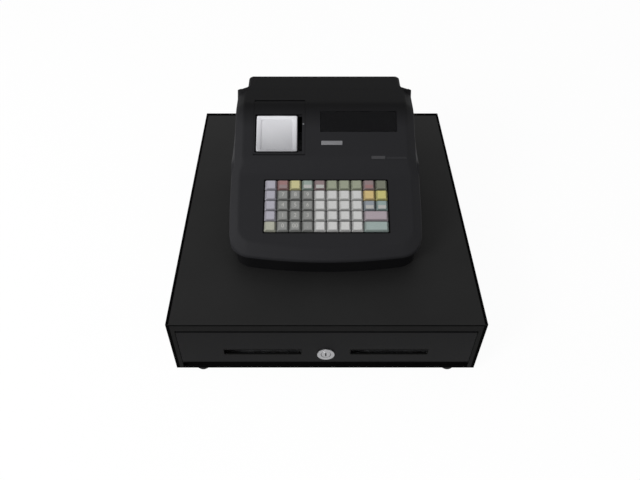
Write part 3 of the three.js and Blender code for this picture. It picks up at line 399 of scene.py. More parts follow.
@dataclass(frozen=True)
class PowderCoat(Finish):
    """Powder coat on sheet steel: the shallow orange peel of a baked paint."""

    peel: float = 1.6 * MM
    peel_depth: float = 0.025 * MM
    cloud: float = 90 * MM
    tone_shares: Pair = (0.95, 1.06)
    gloss_changes: Pair = (-0.04, 0.05)

    def pattern(self, tree: Tree, shader: Node) -> None:
        """Adds the orange peel, and a faint change of tone over the sheet.

        Args:
            tree: the material's node tree.
            shader: the surface's shader.
        """
        peel = place_noise(tree, self.peel, detail=1.0)
        slow = place_noise(tree, self.cloud, detail=2.0)
        self.vary_tone(tree, shader, slow, self.tone_shares)
        self.vary_gloss(tree, shader, peel, self.gloss_changes)
        relief(tree, shader, peel, self.peel_depth)


@dataclass(frozen=True)
class ZincPlate(Finish):
    """Zinc-plated steel sheet with a faint crystal spangle."""

    spangle: float = 9 * MM
    tone_shares: Pair = (0.86, 1.08)
    mark: float = 3 * MM
    along: Point = (1.0, 0.08, 1.0)
    gloss_changes: Pair = (-0.08, 0.1)

    def pattern(self, tree: Tree, shader: Node) -> None:
        """Adds flat crystals of slightly different grey, and fine rolling marks in the gloss.

        Args:
            tree: the material's node tree.
            shader: the surface's shader.
        """
        place = add_node(tree, "ShaderNodeTexCoord")
        crystals = add_node(
            tree,
            "ShaderNodeTexVoronoi",
            values={"Scale": 1.0 / self.spangle},
            links={"Vector": place.outputs["Object"]},
        )
        tone = add_node(tree, "ShaderNodeSeparateColor", links={"Color": crystals.outputs["Color"]})
        darker, lighter = (shade(self.colour, share) for share in self.tone_shares)
        tint(tree, shader, tone.outputs["Red"], darker, lighter)
        rolled = place_noise(tree, self.mark, stretch=self.along)
        self.vary_gloss(tree, shader, rolled, self.gloss_changes)


@dataclass(frozen=True)
class DrawnMetal(Finish):
    """Bright metal with the fine lines of drawing, turning or brushing along one axis."""

    line: float = 0.5 * MM
    along: Point = (0.05, 1.0, 1.0)
    line_depth: float = 0.006 * MM
    tone_shares: Pair = (0.9, 1.06)
    gloss_shares: Pair = (-0.2, 0.3)

    def pattern(self, tree: Tree, shader: Node) -> None:
        """Adds long fine lines in tone, gloss and height.

        Args:
            tree: the material's node tree.
            shader: the surface's shader.
        """
        lines = place_noise(tree, self.line, detail=3.0, stretch=self.along)
        self.vary_tone(tree, shader, lines, self.tone_shares)
        less, more = (self.roughness * share for share in self.gloss_shares)
        self.vary_gloss(tree, shader, lines, (less, more))
        relief(tree, shader, lines, self.line_depth)


@dataclass(frozen=True)
class ClearPlastic(Finish):
    """A moulded see-through plastic: polished, with a trace of haze."""

    opacity: float = 0.4
    # painted light on a tall pane: the colour at its head, and the heights where the painted light starts
    # and ends
    painted_light_top_colour: str = ""
    painted_light_span: Pair = (0.0, 1.0)
    wave: float = 14 * MM
    wave_depth: float = 0.03 * MM
    gloss_changes: Pair = (0.0, 0.05)

    def pattern(self, tree: Tree, shader: Node) -> None:
        """Adds a slight waviness, lets a part of the light through, and paints light on tall panes: a tint
        that changes with height.

        Args:
            tree: the material's node tree.
            shader: the surface's shader.
        """
        shader.inputs["Alpha"].default_value = self.opacity
        # painted light: the pane's colour moves towards the painted top colour with height
        if self.painted_light_top_colour:
            tint(tree, shader, climb(tree, self.painted_light_span), self.colour, self.painted_light_top_colour)
        waves = place_noise(tree, self.wave, detail=1.0)
        self.vary_gloss(tree, shader, waves, self.gloss_changes)
        relief(tree, shader, waves, self.wave_depth)


@dataclass(frozen=True)
class CoatedPaper(Finish):
    """Smooth coated paper or card: fine fibres and no gloss."""

    fibre: float = 0.8 * MM
    fibre_depth: float = 0.01 * MM
    along: Point = (0.4, 1.0, 1.0)
    tone_shares: Pair = (0.965, 1.02)

    def pattern(self, tree: Tree, shader: Node) -> None:
        """Adds fibres a little lighter and darker than the sheet.

        Args:
            tree: the material's node tree.
            shader: the surface's shader.
        """
        fibres = place_noise(tree, self.fibre, detail=4.0, stretch=self.along)
        self.vary_tone(tree, shader, fibres, self.tone_shares)
        relief(tree, shader, fibres, self.fibre_depth)


@dataclass(frozen=True)
class CircuitLaminate(Finish):
    """A lacquered circuit board: solder resist over copper tracks."""

    pitch: float = 2.54 * MM
    track_share: float = 0.12
    track_pitches: float = 3.0
    track_tone: float = 1.35
    track_depth: float = 0.04 * MM

    def pattern(self, tree: Tree, shader: Node) -> None:
        """Adds tracks on the grid of the parts, lighter and higher than the board between them.

        Args:
            tree: the material's node tree.
            shader: the surface's shader.
        """
        place = add_node(tree, "ShaderNodeTexCoord")
        tracks = add_node(
            tree,
            "ShaderNodeTexBrick",
            values={
                "Scale": 1.0 / self.pitch,
                "Mortar Size": self.track_share,
                "Color1": NO_LIGHT,
                "Color2": NO_LIGHT,
                "Mortar": WHITE_LIGHT,
                "Brick Width": self.track_pitches,
                "Row Height": 1.0,
            },
            links={"Vector": place.outputs["Object"]},
        )
        tint(tree, shader, tracks.outputs["Color"], self.colour, shade(self.colour, self.track_tone))
        relief(tree, shader, tracks.outputs["Color"], self.track_depth)


@dataclass(frozen=True)
class WoundPaper(CoatedPaper):
    """A roll's paper: the edges of its turns show at both ends."""

    turn: float = 0.9 * MM
    wobble: float = 0.6
    darkest: float = 0.93
    unit_turn: float = 0.314

    def pattern(self, tree: Tree, shader: Node) -> None:
        """Adds rings round the roll's axis, drawn coarser than the real paper so that they show.

        The wave texture repeats after unit_turn when its scale is 1.

        Args:
            tree: the material's node tree.
            shader: the surface's shader.
        """
        middle_y, middle_z = Axis.X.middle("paper_roll")
        place = add_node(tree, "ShaderNodeTexCoord")
        moved = add_node(
            tree,
            "ShaderNodeMapping",
            values={"Location": (0.0, -middle_y, -middle_z), "Scale": (0.0, 1.0, 1.0)},
            links={"Vector": place.outputs["Object"]},
        )
        rings = add_node(
            tree,
            "ShaderNodeTexWave",
            values={"Scale": self.unit_turn / self.turn, "Distortion": self.wobble, "Detail": 1.0},
            links={"Vector": moved.outputs["Vector"]},
            wave_type="RINGS",
            rings_direction="SPHERICAL",
        )
        tint(tree, shader, rings.outputs["Fac"], shade(self.colour, self.darkest), self.colour)


# Powder coat: an even satin black with a shallow orange peel
CASE_ENAMEL = PowderCoat("powder_coated_steel", "#1b1b1b", "case_enamel", 0.5, specular=0.09)
# The same paint on the folded edges of the opening, darker and flatter: painted shade on the front faces
FRONT_EDGE_SHADE_ENAMEL = PowderCoat("powder_coat_edges_painted_shade", "#111111", "case_enamel", 0.62, specular=0.058)
# Painted shade: a near-black film along the rolled rims, where the fold turns away from the light and reads
# as a dark line, and along the sill and the drawer's foot, in the shadow under the drawer's front
RIM_SHADE_FILM = PowderCoat("painted_rim_shade", "#020202", "case_enamel", 0.7, specular=0.01)
# The same paint on the drawer's front, a little flatter, and darker than the case's top as painted shade
PANEL_SHADE_ENAMEL = PowderCoat("powder_coat_front_painted_shade", "#101011", "panel_enamel", 0.52, specular=0.072)
# The base of the case: the same paint, darkened as painted shade for the shadow of the front; it also
# darkens the slots' edges
BASE_SHADE_ENAMEL = PowderCoat("steel_base_painted_shade", "#0a0a0a", "case_enamel", 0.6, specular=0.08)
# Zinc plate: grey metal with large faint crystals
ZINC = ZincPlate("zinc_plated_steel", "#9a9c9e", "zinc_steel", 0.42, metallic=0.85)
# Rubber: nearly no gloss and a dusty grain
RUBBER = MouldedPlastic("moulded_rubber", "#111111", "rubber", 0.88, specular=0.25, grain=0.9 * MM)
# Gasket rubber: the same, nearly black: painted shade, a dark ring round the window and round the keys
SHADE_GASKET_RUBBER = MouldedPlastic("gasket_rubber_painted_shade", "#050505", "hood_plastic", 0.9, specular=0.03)
# Nylon: a creamy white with a soft gloss
NYLON = MouldedPlastic("moulded_nylon", "#d2cfc4", "nylon", 0.45, contrast=0.03)
# Polystyrene: the till's tray, black with a slight shine
POLYSTYRENE = MouldedPlastic("moulded_polystyrene", "#161617", "insert_plastic", 0.5, specular=0.4)
# Spring steel: bright with fine rolling lines
SPRING_STEEL = DrawnMetal("rolled_spring_steel", "#a4a6a8", "spring_steel", 0.3, metallic=1.0)
# Chromed brass: bright, with faint turning lines
CHROME = DrawnMetal(
    "chromed_brass", "#a8a8aa", "chrome", 0.3, metallic=1.0, along=(1.0, 0.05, 1.0), line=0.4 * MM
)
# ABS of the hood: black with a fine eroded grain, which turns its highlights to a soft grey; its roof is
# darkened with height as painted shade
HOOD_ABS = PaintedLightPlastic(
    "grained_abs_black", "#222224", "hood_plastic", 0.6,
    specular=0.06, painted_light_top_colour="#0b0b0c", painted_light_span=(0.224, 0.24),
)
# ABS of the base: the same plastic, darker and flatter
PAN_ABS = MouldedPlastic("grained_abs_base", "#0a0a0b", "pan_plastic", 0.62, specular=0.08)
# Polycarbonate: the paper window, slightly frosted, and paler towards its head as painted light, where more
# light gets in
POLYCARBONATE = ClearPlastic(
    "frosted_polycarbonate", "#a2a2a6", "clear_plastic", 0.22,
    opacity=0.75, painted_light_top_colour="#eaeaee", painted_light_span=(0.208, 0.232),
)
# The window's rim: the same plastic left clear and polished, so that it stands out against the pane, and
# paler towards its head as painted light
POLYCARBONATE_RIM = PaintedLightPlastic(
    "polished_polycarbonate", "#98989c", "clear_plastic", 0.25,
    contrast=0.02, painted_light_top_colour="#d4d4d8", painted_light_span=(0.208, 0.232),
)
# Smoked acrylic: nearly black and polished, and the digits show dimly through it
SMOKED_ACRYLIC = ClearPlastic(
    "smoked_acrylic", "#0c0c0e", "smoked_plastic", 0.12, opacity=0.8, specular=0.08
)
# Glass of the display cell: dark green-grey
CELL_GLASS = MouldedPlastic(
    "display_cell_glass", "#14161a", "display_glass", 0.2, specular=0.1, grain_depth=0.0
)
# Segments that are lit: a dim pale green-grey
SEGMENT = MouldedPlastic("display_segment_ink", "#8f968f", "display_glass", 0.6, contrast=0.02)
# Circuit boards: green lacquer over copper tracks
LAMINATE = CircuitLaminate("lacquered_laminate", "#1f5a36", "board", 0.4)
# Thermal paper: smooth white, wound on a core
ROLL_PAPER = WoundPaper("wound_thermal_paper", "#f0f0ee", "paper", 0.85)
# Filled nylon of the key frame and the printer frame
FRAME_NYLON = MouldedPlastic("glass_filled_nylon", "#3c3e41", "frame_grey", 0.6)
# Silver lacquer on the bare badge bar
SILVER_LACQUER = DrawnMetal("silver_lacquer", "#6c6c6e", "hood_plastic", 0.42, metallic=0.5, line=0.8 * MM)
# Grey print on the small bare plate
GREY_LACQUER = MouldedPlastic("grey_lacquer", "#3c3c3e", "hood_plastic", 0.6, specular=0.1, contrast=0.03)
# Darker print of the line beside it
DARK_LACQUER = MouldedPlastic(
    "dark_grey_lacquer", "#29292b", "hood_plastic", 0.6, specular=0.08, contrast=0.03
)
# Paper label behind the machine, left bare
LABEL_PAPER = CoatedPaper("bare_label_paper", "#a9a9a6", "pan_plastic", 0.6)
# White ink of the digits on the keys
KEY_INK = MouldedPlastic("key_legend_ink", "#a9a9a5", "dark_key", 0.6, contrast=0.01)
# Brass of the inlet's pins
PIN_BRASS = DrawnMetal("drawn_brass", "#c9a860", "chrome", 0.28, metallic=1.0)
# How dark a key's cap is beside its label
KEY_CAP_SHARE = 0.8


class KeyTint(Enum):
    """The colours of the key labels."""

    PALE = "#bdbdbc"
    SAGE = "#8b907d"
    DARK = "#7e7f7d"
    LILAC = "#9d9ba5"
    OLIVE = "#9e9f91"
    RED = "#8a6a69"
    LEMON = "#b6b184"
    MINT = "#87938c"
    ROSE = "#827273"
    ORANGE = "#bfa974"
    GOLD = "#b7b070"
    MOSS = "#6d6f61"
    BLUE_GREY = "#838990"
    TEAL = "#859593"
    PINK = "#9c9197"
    JADE = "#8f9c99"
    WHITE = "#a6a6a3"

    def slot(self) -> str:
        """Gives the slot for keys of this colour."""
        slots = {KeyTint.DARK: "dark_key", KeyTint.PINK: "pink_key", KeyTint.JADE: "mint_key"}
        return slots.get(self, "pale_key")

    def label(self) -> CoatedPaper:
        """Gives the bare printed label: coated paper with a faint sheen."""
        return CoatedPaper(f"key_label_{self.name.lower()}", self.value, self.slot(), 0.55, specular=0.25)

    def cap(self) -> MouldedPlastic:
        """Gives the moulded cap round the label, which is darker and glossier than it."""
        colour = shade(self.value, KEY_CAP_SHARE)
        return MouldedPlastic(f"key_cap_{self.name.lower()}", colour, self.slot(), 0.4)


class Axis(Enum):
    """The frame's axes, with the two that cross each."""

    X = (0, 1, 2)
    Y = (1, 0, 2)
    Z = (2, 0, 1)

    def point(self, along: float, first: float, second: float) -> Vector:
        """Gives a point by its places along this axis and the two that cross it.

        Args:
            along: the place along this axis.
            first: the place along the first axis that crosses it.
            second: the place along the second one.

        Returns:
            The point.
        """
        place = [0.0, 0.0, 0.0]
        for index, value in zip(self.value, (along, first, second)):
            place[index] = value
        return Vector(place)

    def middle(self, node: str) -> Pair:
        """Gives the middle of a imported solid's box across this axis.

        Args:
            node: the solid's name.

        Returns:
            The middle, along the two axes that cross this one.
        """
        low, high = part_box(node)
        first, second = self.value[1:]
        return (low[first] + high[first]) / 2, (low[second] + high[second]) / 2


def smooth_group() -> Tree:
    """Gives the node group that smooths all but the sharp edges, and builds it the first time.

    Returns:
        The group.
    """
    name = "smooth_by_angle"
    found = bpy.data.node_groups.get(name)
    if found:
        return found
    tree = bpy.data.node_groups.new(name, "GeometryNodeTree")
    tree.interface.new_socket("Geometry", in_out="INPUT", socket_type="NodeSocketGeometry")
    tree.interface.new_socket("Geometry", in_out="OUTPUT", socket_type="NodeSocketGeometry")
    source = add_node(tree, "NodeGroupInput")
    angle = add_node(tree, "GeometryNodeInputMeshEdgeAngle")
    sharp = add_node(
        tree,
        "FunctionNodeCompare",
        values={"B": SMOOTH_ANGLE},
        links={"A": angle.outputs["Unsigned Angle"]},
        operation="GREATER_THAN",
    )
    faces = add_node(
        tree,
        "GeometryNodeSetShadeSmooth",
        values={"Shade Smooth": True},
        links={"Geometry": source.outputs["Geometry"]},
        domain="FACE",
    )
    edges = add_node(
        tree,
        "GeometryNodeSetShadeSmooth",
        values={"Shade Smooth": False},
        links={"Geometry": faces.outputs["Geometry"], "Selection": sharp.outputs["Result"]},
        domain="EDGE",
    )
    add_node(tree, "NodeGroupOutput", links={"Geometry": edges.outputs["Geometry"]})
    return tree


def soften(piece: Piece, radius: float) -> None:
    """Rounds a piece's sharp edges and smooths its curved stretches, by modifiers only.

    Args:
        piece: the object.
        radius: the width of the rounding, or 0 for crisp edges.
    """
    weld = piece.modifiers.new("weld", "WELD")
    weld.merge_threshold = WELD_DISTANCE
    if radius:
        bevel = piece.modifiers.new("round_edges", "BEVEL")
        bevel.width = radius
        bevel.segments = EDGE_STEPS
        bevel.limit_method = "ANGLE"
        bevel.angle_limit = SMOOTH_ANGLE
        bevel.use_clamp_overlap = True
        bevel.miter_outer = "MITER_ARC"
    smooth = piece.modifiers.new("smooth", "NODES")
    smooth.node_group = smooth_group()
    weighted = piece.modifiers.new("weighted_normals", "WEIGHTED_NORMAL")
    weighted.keep_sharp = True


class Edge(Enum):
    """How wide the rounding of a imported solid's edges is."""

    CRISP = 0.0
    PRESSED = 0.2 * MM
    ROLLED = 0.25 * MM
    FOLDED = 0.3 * MM
    MOULDED = 0.4 * MM
    BROAD = 0.5 * MM
    FULL = 0.6 * MM


def dress(node: str, finish: Finish, edge: Edge = Edge.CRISP) -> None:
    """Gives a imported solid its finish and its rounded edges.

    Args:
        node: the solid's name.
        finish: what it is made of.
        edge: the rounding of its edges.
    """
    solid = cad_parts[node]
    material = finish.material()
    if not solid.material_slots:
        solid.data.materials.append(material)
    for slot in solid.material_slots:
        slot.material = material
    soften(solid, edge.value)
    LOG.info("dressed %s in %s", node, finish.name)


class Solid:
    """A piece in the making, in metres and in its own place."""

    def __init__(self) -> None:
        """Starts with no faces."""
        self.form = bmesh.new()

    def walls(self, rings: Sequence[Ring], closed: bool = False) -> list[Loop]:
        """Joins rings of equal point counts by the faces between them.

        Args:
            rings: the rings in order.
            closed: whether the last ring joins the first.

        Returns:
            The points of each ring.
        """
        loops = [[self.form.verts.new(point) for point in ring] for ring in rings]
        count = len(loops[0])
        pairs = list(zip(loops, loops[1:]))
        if closed:
            pairs.append((loops[-1], loops[0]))
        for low, high in pairs:
            for i in range(count):
                j = (i + 1) % count
                self.form.faces.new((low[i], low[j], high[j], high[i]))
        return loops

    def loft(self, rings: Sequence[Ring], closed: bool = False) -> "Solid":
        """Makes a solid of rings of equal point counts.

        Args:
            rings: the rings in order.
            closed: whether the last ring joins the first, in place of end faces.

        Returns:
            The solid itself.
        """
        loops = self.walls(rings, closed)
        if not closed:
            self.form.faces.new(loops[0][::-1])
            self.form.faces.new(loops[-1])
        return self

    def revolve(
        self, profile: Sequence[Pair], axis: Axis, centre: Pair, sides: int = 48, closed: bool = False
    ) -> "Solid":
        """Turns a profile round an axis.

        Args:
            profile: the points, as radius and place along the axis.
            axis: the axis.
            centre: where the axis crosses the plane of the other two.
            sides: the faces round it.
            closed: whether the profile is a loop, as for a ring.

        Returns:
            The solid itself.
        """
        rings = []
        for radius, along in profile:
            ring = []
            for i in range(sides):
                angle = FULL_TURN * i / sides
                across = centre[0] + radius * math.cos(angle)
                up = centre[1] + radius * math.sin(angle)
                ring.append(axis.point(along, across, up))
            rings.append(ring)
        return self.loft(rings, closed)

    def box(self, low: Sequence[float], high: Sequence[float]) -> "Solid":
        """Adds a box.

        Args:
            low: its lower left front corner.
            high: the corner across from it.

        Returns:
            The solid itself.
        """
        corners = ((0, 0), (1, 0), (1, 1), (0, 1))
        ends = (low, high)
        return self.loft(
            [[(ends[i][0], ends[j][1], end[2]) for i, j in corners] for end in ends]
        )

    def moved(self, matrix: Matrix) -> "Solid":
        """Moves all that is there by a matrix."""
        bmesh.ops.transform(self.form, matrix=matrix, verts=self.form.verts[:])
        return self

    def mesh(self, name: str) -> bpy.types.Mesh:
        """Ends the making and gives the mesh, with its faces outwards.

        Args:
            name: the mesh's name.

        Returns:
            The mesh.
        """
        bmesh.ops.recalc_face_normals(self.form, faces=self.form.faces[:])
        mesh = bpy.data.meshes.new(name)
        self.form.to_mesh(mesh)
        self.form.free()
        return mesh

    def bare(self, name: str) -> Piece:
        """Ends the making and gives a plain object, to cut with or to be cut."""
        return add_object(name, self.mesh(name))

    def piece(
        self, name: str, finish: Finish, body: str, radius: float = 0.0, stands_for: Sequence[str] = ()
    ) -> Piece:
        """Ends the making and gives the finished piece.

        Args:
            name: the piece's name.
            finish: what it is made of.
            body: the body that it moves with.
            radius: the rounding of its edges.
            stands_for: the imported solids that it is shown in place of.

        Returns:
            The piece.
        """
        return finished(self.bare(name), finish, body, radius, stands_for)


def finished(
    piece: Piece, finish: Finish, body: str, radius: float = 0.0, stands_for: Sequence[str] = ()
) -> Piece:
    """Gives an object its material, edges and body.

    Args:
        piece: the object.
        finish: what it is made of.
        body: the body that it moves with.
        radius: the rounding of its edges.
        stands_for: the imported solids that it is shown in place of.

    Returns:
        The piece.
    """
    if not piece.data.materials:
        piece.data.materials.append(finish.material())
    soften(piece, radius)
    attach(piece, body)
    names = list(stands_for)
    if names:
        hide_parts(*names)
    LOG.info("made %s of %s on %s", piece.name, finish.name, body)
    return piece


class Cut(Enum):
    """How one solid changes another."""

    AWAY = "DIFFERENCE"
    COMMON = "INTERSECT"
    JOIN = "UNION"


def carve(piece: Piece, how: Cut, *tools: Solid) -> Piece:
    """Cuts, joins or trims an object by solids, which are used up.

    Args:
        piece: the object to change.
        how: the kind of cut.
        tools: the solids.

    Returns:
        The object.
    """
    for tool in tools:
        cutter = tool.bare("cutter")
        modifier = piece.modifiers.new("cut", "BOOLEAN")
        modifier.object = cutter
        modifier.operation = how.value
        modifier.solver = "EXACT"
        mesh = worked_out(piece)
        piece.modifiers.clear()
        old = piece.data
        piece.data = mesh
        bpy.data.meshes.remove(old)
        bpy.data.objects.remove(cutter)
    return piece


def ease_rim(piece: Piece, on_surface: Callable[[Vector], bool], width: float) -> None:
    """Rounds only the edges where a cut meets the outer surface.

    Args:
        piece: the object to change.
        on_surface: tells whether a point lies on the outer surface.
        width: the width of the rounding.
    """
    form = bmesh.new()
    form.from_mesh(piece.data)
    bmesh.ops.remove_doubles(form, verts=form.verts[:], dist=CUT_CRUMB)
    edges = [
        edge
        for edge in form.edges
        if len(edge.link_faces) == 2
        and edge.calc_face_angle(0.0) > CUT_ANGLE
        and all(on_surface(vertex.co) for vertex in edge.verts)
    ]
    bmesh.ops.bevel(
        form,
        geom=edges,
        offset=width,
        segments=EDGE_STEPS,
        profile=ROUND_PROFILE,
        affect="EDGES",
        clamp_overlap=True,
    )
    form.to_mesh(piece.data)
    form.free()


def rounded_rectangle(half_x: float, half_y: float, radius: float) -> list[Pair]:
    """Gives the outline of a rectangle with round corners, counter-clockwise.

    Args:
        half_x: half its width.
        half_y: half its length.
        radius: the radius of its corners.

    Returns:
        The points.
    """
    points = []
    steps = 5
    for quarter, (side, end) in enumerate(((1, 1), (-1, 1), (-1, -1), (1, -1))):
        for k in range(steps + 1):
            angle = (quarter + k / steps) * QUARTER_TURN
            x = side * (half_x - radius) + radius * math.cos(angle)
            y = end * (half_y - radius) + radius * math.sin(angle)
            points.append((x, y))
    return points


@dataclass(frozen=True)
class Place:
    """Where the register stands, and the slopes that carry its keys and its display.

    Depths and heights are from the drawer's face and the top of its case.
    """

    face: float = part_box("drawer_front")[0].y
    case_top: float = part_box("case_cover")[1].z
    deck_start: float = 93 * MM
    deck_height: float = 39 * MM
    deck_end: float = 192 * MM
    deck_end_height: float = 83 * MM
    screen_start: float = 204 * MM
    screen_height: float = 97 * MM
    screen_end: float = 272 * MM
    screen_end_height: float = 131 * MM

    def register(self) -> Matrix:
        """Gives the place of the register: the drawer's face and the top of its case."""
        return Matrix.Translation((0.0, self.face, self.case_top))

    def slope(self, start: Pair, end: Pair) -> Matrix:
        """Gives the place of a sloping face, with its Y up the slope.

        Args:
            start: depth and height of its front edge.
            end: depth and height of its rear edge.

        Returns:
            The place.
        """
        lean = math.atan2(end[1] - start[1], end[0] - start[0])
        return self.register() @ Matrix.Translation((0.0, *start)) @ Matrix.Rotation(lean, 4, "X")

    def deck(self) -> Matrix:
        """Gives the place of the keyboard deck."""
        return self.slope((self.deck_start, self.deck_height), (self.deck_end, self.deck_end_height))

    def screen(self) -> Matrix:
        """Gives the place of the display face."""
        start = (self.screen_start, self.screen_height)
        return self.slope(start, (self.screen_end, self.screen_end_height))

    def face_box(self, x0: float, x1: float, s0: float, s1: float, z0: float, z1: float) -> Solid:
        """Gives a box in the display face's own directions."""
        return Solid().box((x0, s0, z0), (x1, s1, z1)).moved(self.screen())


PLACE = Place()


@dataclass(frozen=True)
class Hood:
    """The moulded hood with its keyboard deck, riser, display face and top.

    Depths and heights are from the drawer's face and the top of its case.
    """

    front: float = 80.5 * MM
    half_width: float = 128.5 * MM
    front_half_width: float = 127.5 * MM
    upper_half_width: float = 124.6 * MM
    end: float = 353 * MM
    bow_radius: float = 600 * MM
    corner_radius: float = 32 * MM
    corner_room: float = 2 * MM
    widening: float = 30 * MM
    notch_start: float = 317 * MM
    notch_end: float = 325 * MM
    notch_half_width: float = 110 * MM
    notch_ease: float = 1.2 * MM
    rear_corner: float = 6.5 * MM
    rear_rim_share: float = 0.25
    bow_steps: int = 16
    side_steps: int = 56
    rear_steps: int = 6
    skirt: float = 24 * MM
    skirt_edge: float = 1.5 * MM
    waist: float = 84 * MM
    rim_width: float = 12 * MM
    rim_rise: float = 9.5 * MM
    rim_ease: float = 2.6 * MM
    rim_steps: int = 6
    wall: float = 2.6 * MM
    roof: float = 3.2 * MM
    skin: float = 0.35 * MM
    top_start: float = 280 * MM
    top_height: float = 134 * MM
    crease: float = 4 * MM
    crease_steps: int = 4
    gap: float = 0.3 * MM
    ease: float = 0.3 * MM
    overrun: float = 4 * MM
    boss_reach: float = 4 * MM
    boss_half: float = 5 * MM

    def corners(self) -> list[Pair]:
        """Gives the side profile's corners.

        Returns:
            Their depths and heights, from the front to the rear.
        """
        return [
            (PLACE.deck_start, PLACE.deck_height),
            (PLACE.deck_end, PLACE.deck_end_height),
            (PLACE.screen_start, PLACE.screen_height),
            (PLACE.screen_end, PLACE.screen_end_height),
            (self.top_start, self.top_height),
        ]

    def crisp_height(self, depth: float) -> float:
        """Gives the height of the surface at a depth, with sharp creases.

        Args:
            depth: the depth.

        Returns:
            The height.
        """
        corners = self.corners()
        if depth <= corners[0][0]:
            return corners[0][1]
        for (y0, z0), (y1, z1) in zip(corners, corners[1:]):
            if depth <= y1:
                return z0 + (z1 - z0) * (depth - y0) / (y1 - y0)
        return self.top_height

    def height(self, depth: float) -> float:
        """Gives the height of the surface at a depth, with its creases eased as in the mould.

        Args:
            depth: the depth.

        Returns:
            The height.
        """
        steps = range(-self.crease_steps, self.crease_steps + 1)
        samples = [self.crisp_height(depth + self.crease * k / self.crease_steps) for k in steps]
        return sum(samples) / len(samples)

    def half_width_at(self, depth: float, widening_start: float, upper: bool) -> float:
        """Gives half the hood's width along its straight sides.

        Args:
            depth: the depth.
            widening_start: the depth where the sides start to widen.
            upper: whether it is the narrower outline above the waist.

        Returns:
            Half the width.
        """
        widen = min(1.0, max(0.0, (depth - widening_start) / self.widening))
        width = self.front_half_width + (self.half_width - self.front_half_width) * widen
        if upper:
            share = min(1.0, max(0.0, (depth - PLACE.deck_end) / (PLACE.screen_start - PLACE.deck_end)))
            width -= (self.half_width - self.upper_half_width) * share * share * (3 - 2 * share)
        return width

    def plan(self, upper: bool) -> list[Pair]:
        """Gives the right half of the outline, from the front to the rear.

        Args:
            upper: whether it is the narrower outline above the waist.

        Returns:
            The points, as place across and depth.
        """
        centre = self.front + self.bow_radius
        corner_x = self.front_half_width - self.corner_radius
        inner = self.bow_radius - self.corner_radius
        corner_y = centre - math.sqrt(inner**2 - corner_x**2)
        turn = math.asin(corner_x / inner)
        steps = self.bow_steps
        bow = [
            (self.bow_radius * math.sin(a), centre - self.bow_radius * math.cos(a))
            for a in (turn * (i + 0.5) / steps for i in range(steps))
        ]
        corner = [
            (corner_x + self.corner_radius * math.cos(a), corner_y + self.corner_radius * math.sin(a))
            for a in (turn - QUARTER_TURN + (QUARTER_TURN - turn) * k / steps for k in range(steps + 1))
        ]
        first, last = corner_y + self.corner_room, self.notch_start
        depths = [first + (last - first) * k / self.side_steps for k in range(self.side_steps)]
        side = [(self.half_width_at(depth, corner_y, upper), depth) for depth in depths]
        outer = self.upper_half_width if upper else self.half_width
        rear_turn = [(k + 0.5) / self.rear_steps * QUARTER_TURN for k in range(self.rear_steps)]
        shoulder = [
            (outer - self.rear_corner * (1 - math.cos(a)), last + self.rear_corner / 2 * math.sin(a))
            for a in rear_turn
        ]
        waist = [
            (self.notch_half_width + self.notch_ease, self.notch_end),
            (self.notch_half_width, self.notch_end + self.rear_corner / 2),
        ]
        back = [
            (self.notch_half_width - self.rear_corner * (1 - math.cos(a)),
             self.end - self.rear_corner * (1 - math.sin(a)))
            for a in rear_turn
        ]
        return bow + corner + side + shoulder + waist + back

    def ring(self, upper: bool, inset: Callable[[float], float]) -> list[Pair]:
        """Gives the whole outline, drawn in by a distance that depends on the depth.

        Args:
            upper: whether it is the narrower outline above the waist.
            inset: gives the distance at a depth.

        Returns:
            The points, as place across and depth.
        """
        half = self.plan(upper)
        whole = half + [(-x, y) for x, y in reversed(half)]
        count = len(whole)
        sharpest = math.sqrt(0.5)
        drawn = []
        for i, (x, y) in enumerate(whole):
            px, py = whole[i - 1]
            nx, ny = whole[(i + 1) % count]
            before = Vector((x - px, y - py)).normalized()
            after = Vector((nx - x, ny - y)).normalized()
            along = (before + after).normalized()
            if self.front + 2 * self.corner_radius < y < self.notch_start:
                along = Vector((0.0, math.copysign(1.0, after.y)))
            stretch = 1 / max(along.dot(after), sharpest)
            reach = inset(y) * stretch
            drawn.append((x - along.y * reach, y + along.x * reach))
        return drawn

    def rim_profile(self) -> list[Pair]:
        """Gives the chamfered rim between the wall and the roof.

        Returns:
            Its points, as inset and drop, from the wall up.
        """
        corners = [
            (0.0, self.rim_rise + self.rim_ease),
            (0.0, self.rim_rise),
            (self.rim_width, 0.0),
            (self.rim_width + self.rim_ease, 0.0),
        ]
        points = [corners[0]]
        for k in (1, 2):
            before, at, after = (Vector(corners[k + d]) for d in (-1, 0, 1))
            start = at + (before - at).normalized() * self.rim_ease
            stop = at + (after - at).normalized() * self.rim_ease
            for step in range(1, self.rim_steps):
                t = step / self.rim_steps
                curve = start * (1 - t) ** 2 + at * 2 * t * (1 - t) + stop * t**2
                points.append((curve.x, curve.y))
        points.append(corners[-1])
        return points

    def rings(self, wall: float, roof: float) -> list[list[Point]]:
        """Gives the rings of the outer skin, or of the inner one for a wall and a roof.

        Args:
            wall: how far in from the outer skin the sides are.
            roof: how far under it the top is.

        Returns:
            The rings from the skirt to the top.
        """

        def share(depth: float) -> float:
            """Gives how much of the rim there is at a depth: the rear has only a part of it."""
            return self.rear_rim_share if depth > self.notch_start else 1.0

        def edge(depth: float) -> float:
            """Gives the height where the rim starts."""
            return self.height(depth) - (self.rim_rise + self.rim_ease) * share(depth)

        def belt(depth: float) -> float:
            """Gives the height where the sides start to lean in."""
            return min(self.waist, edge(depth) - self.skirt_edge) - roof

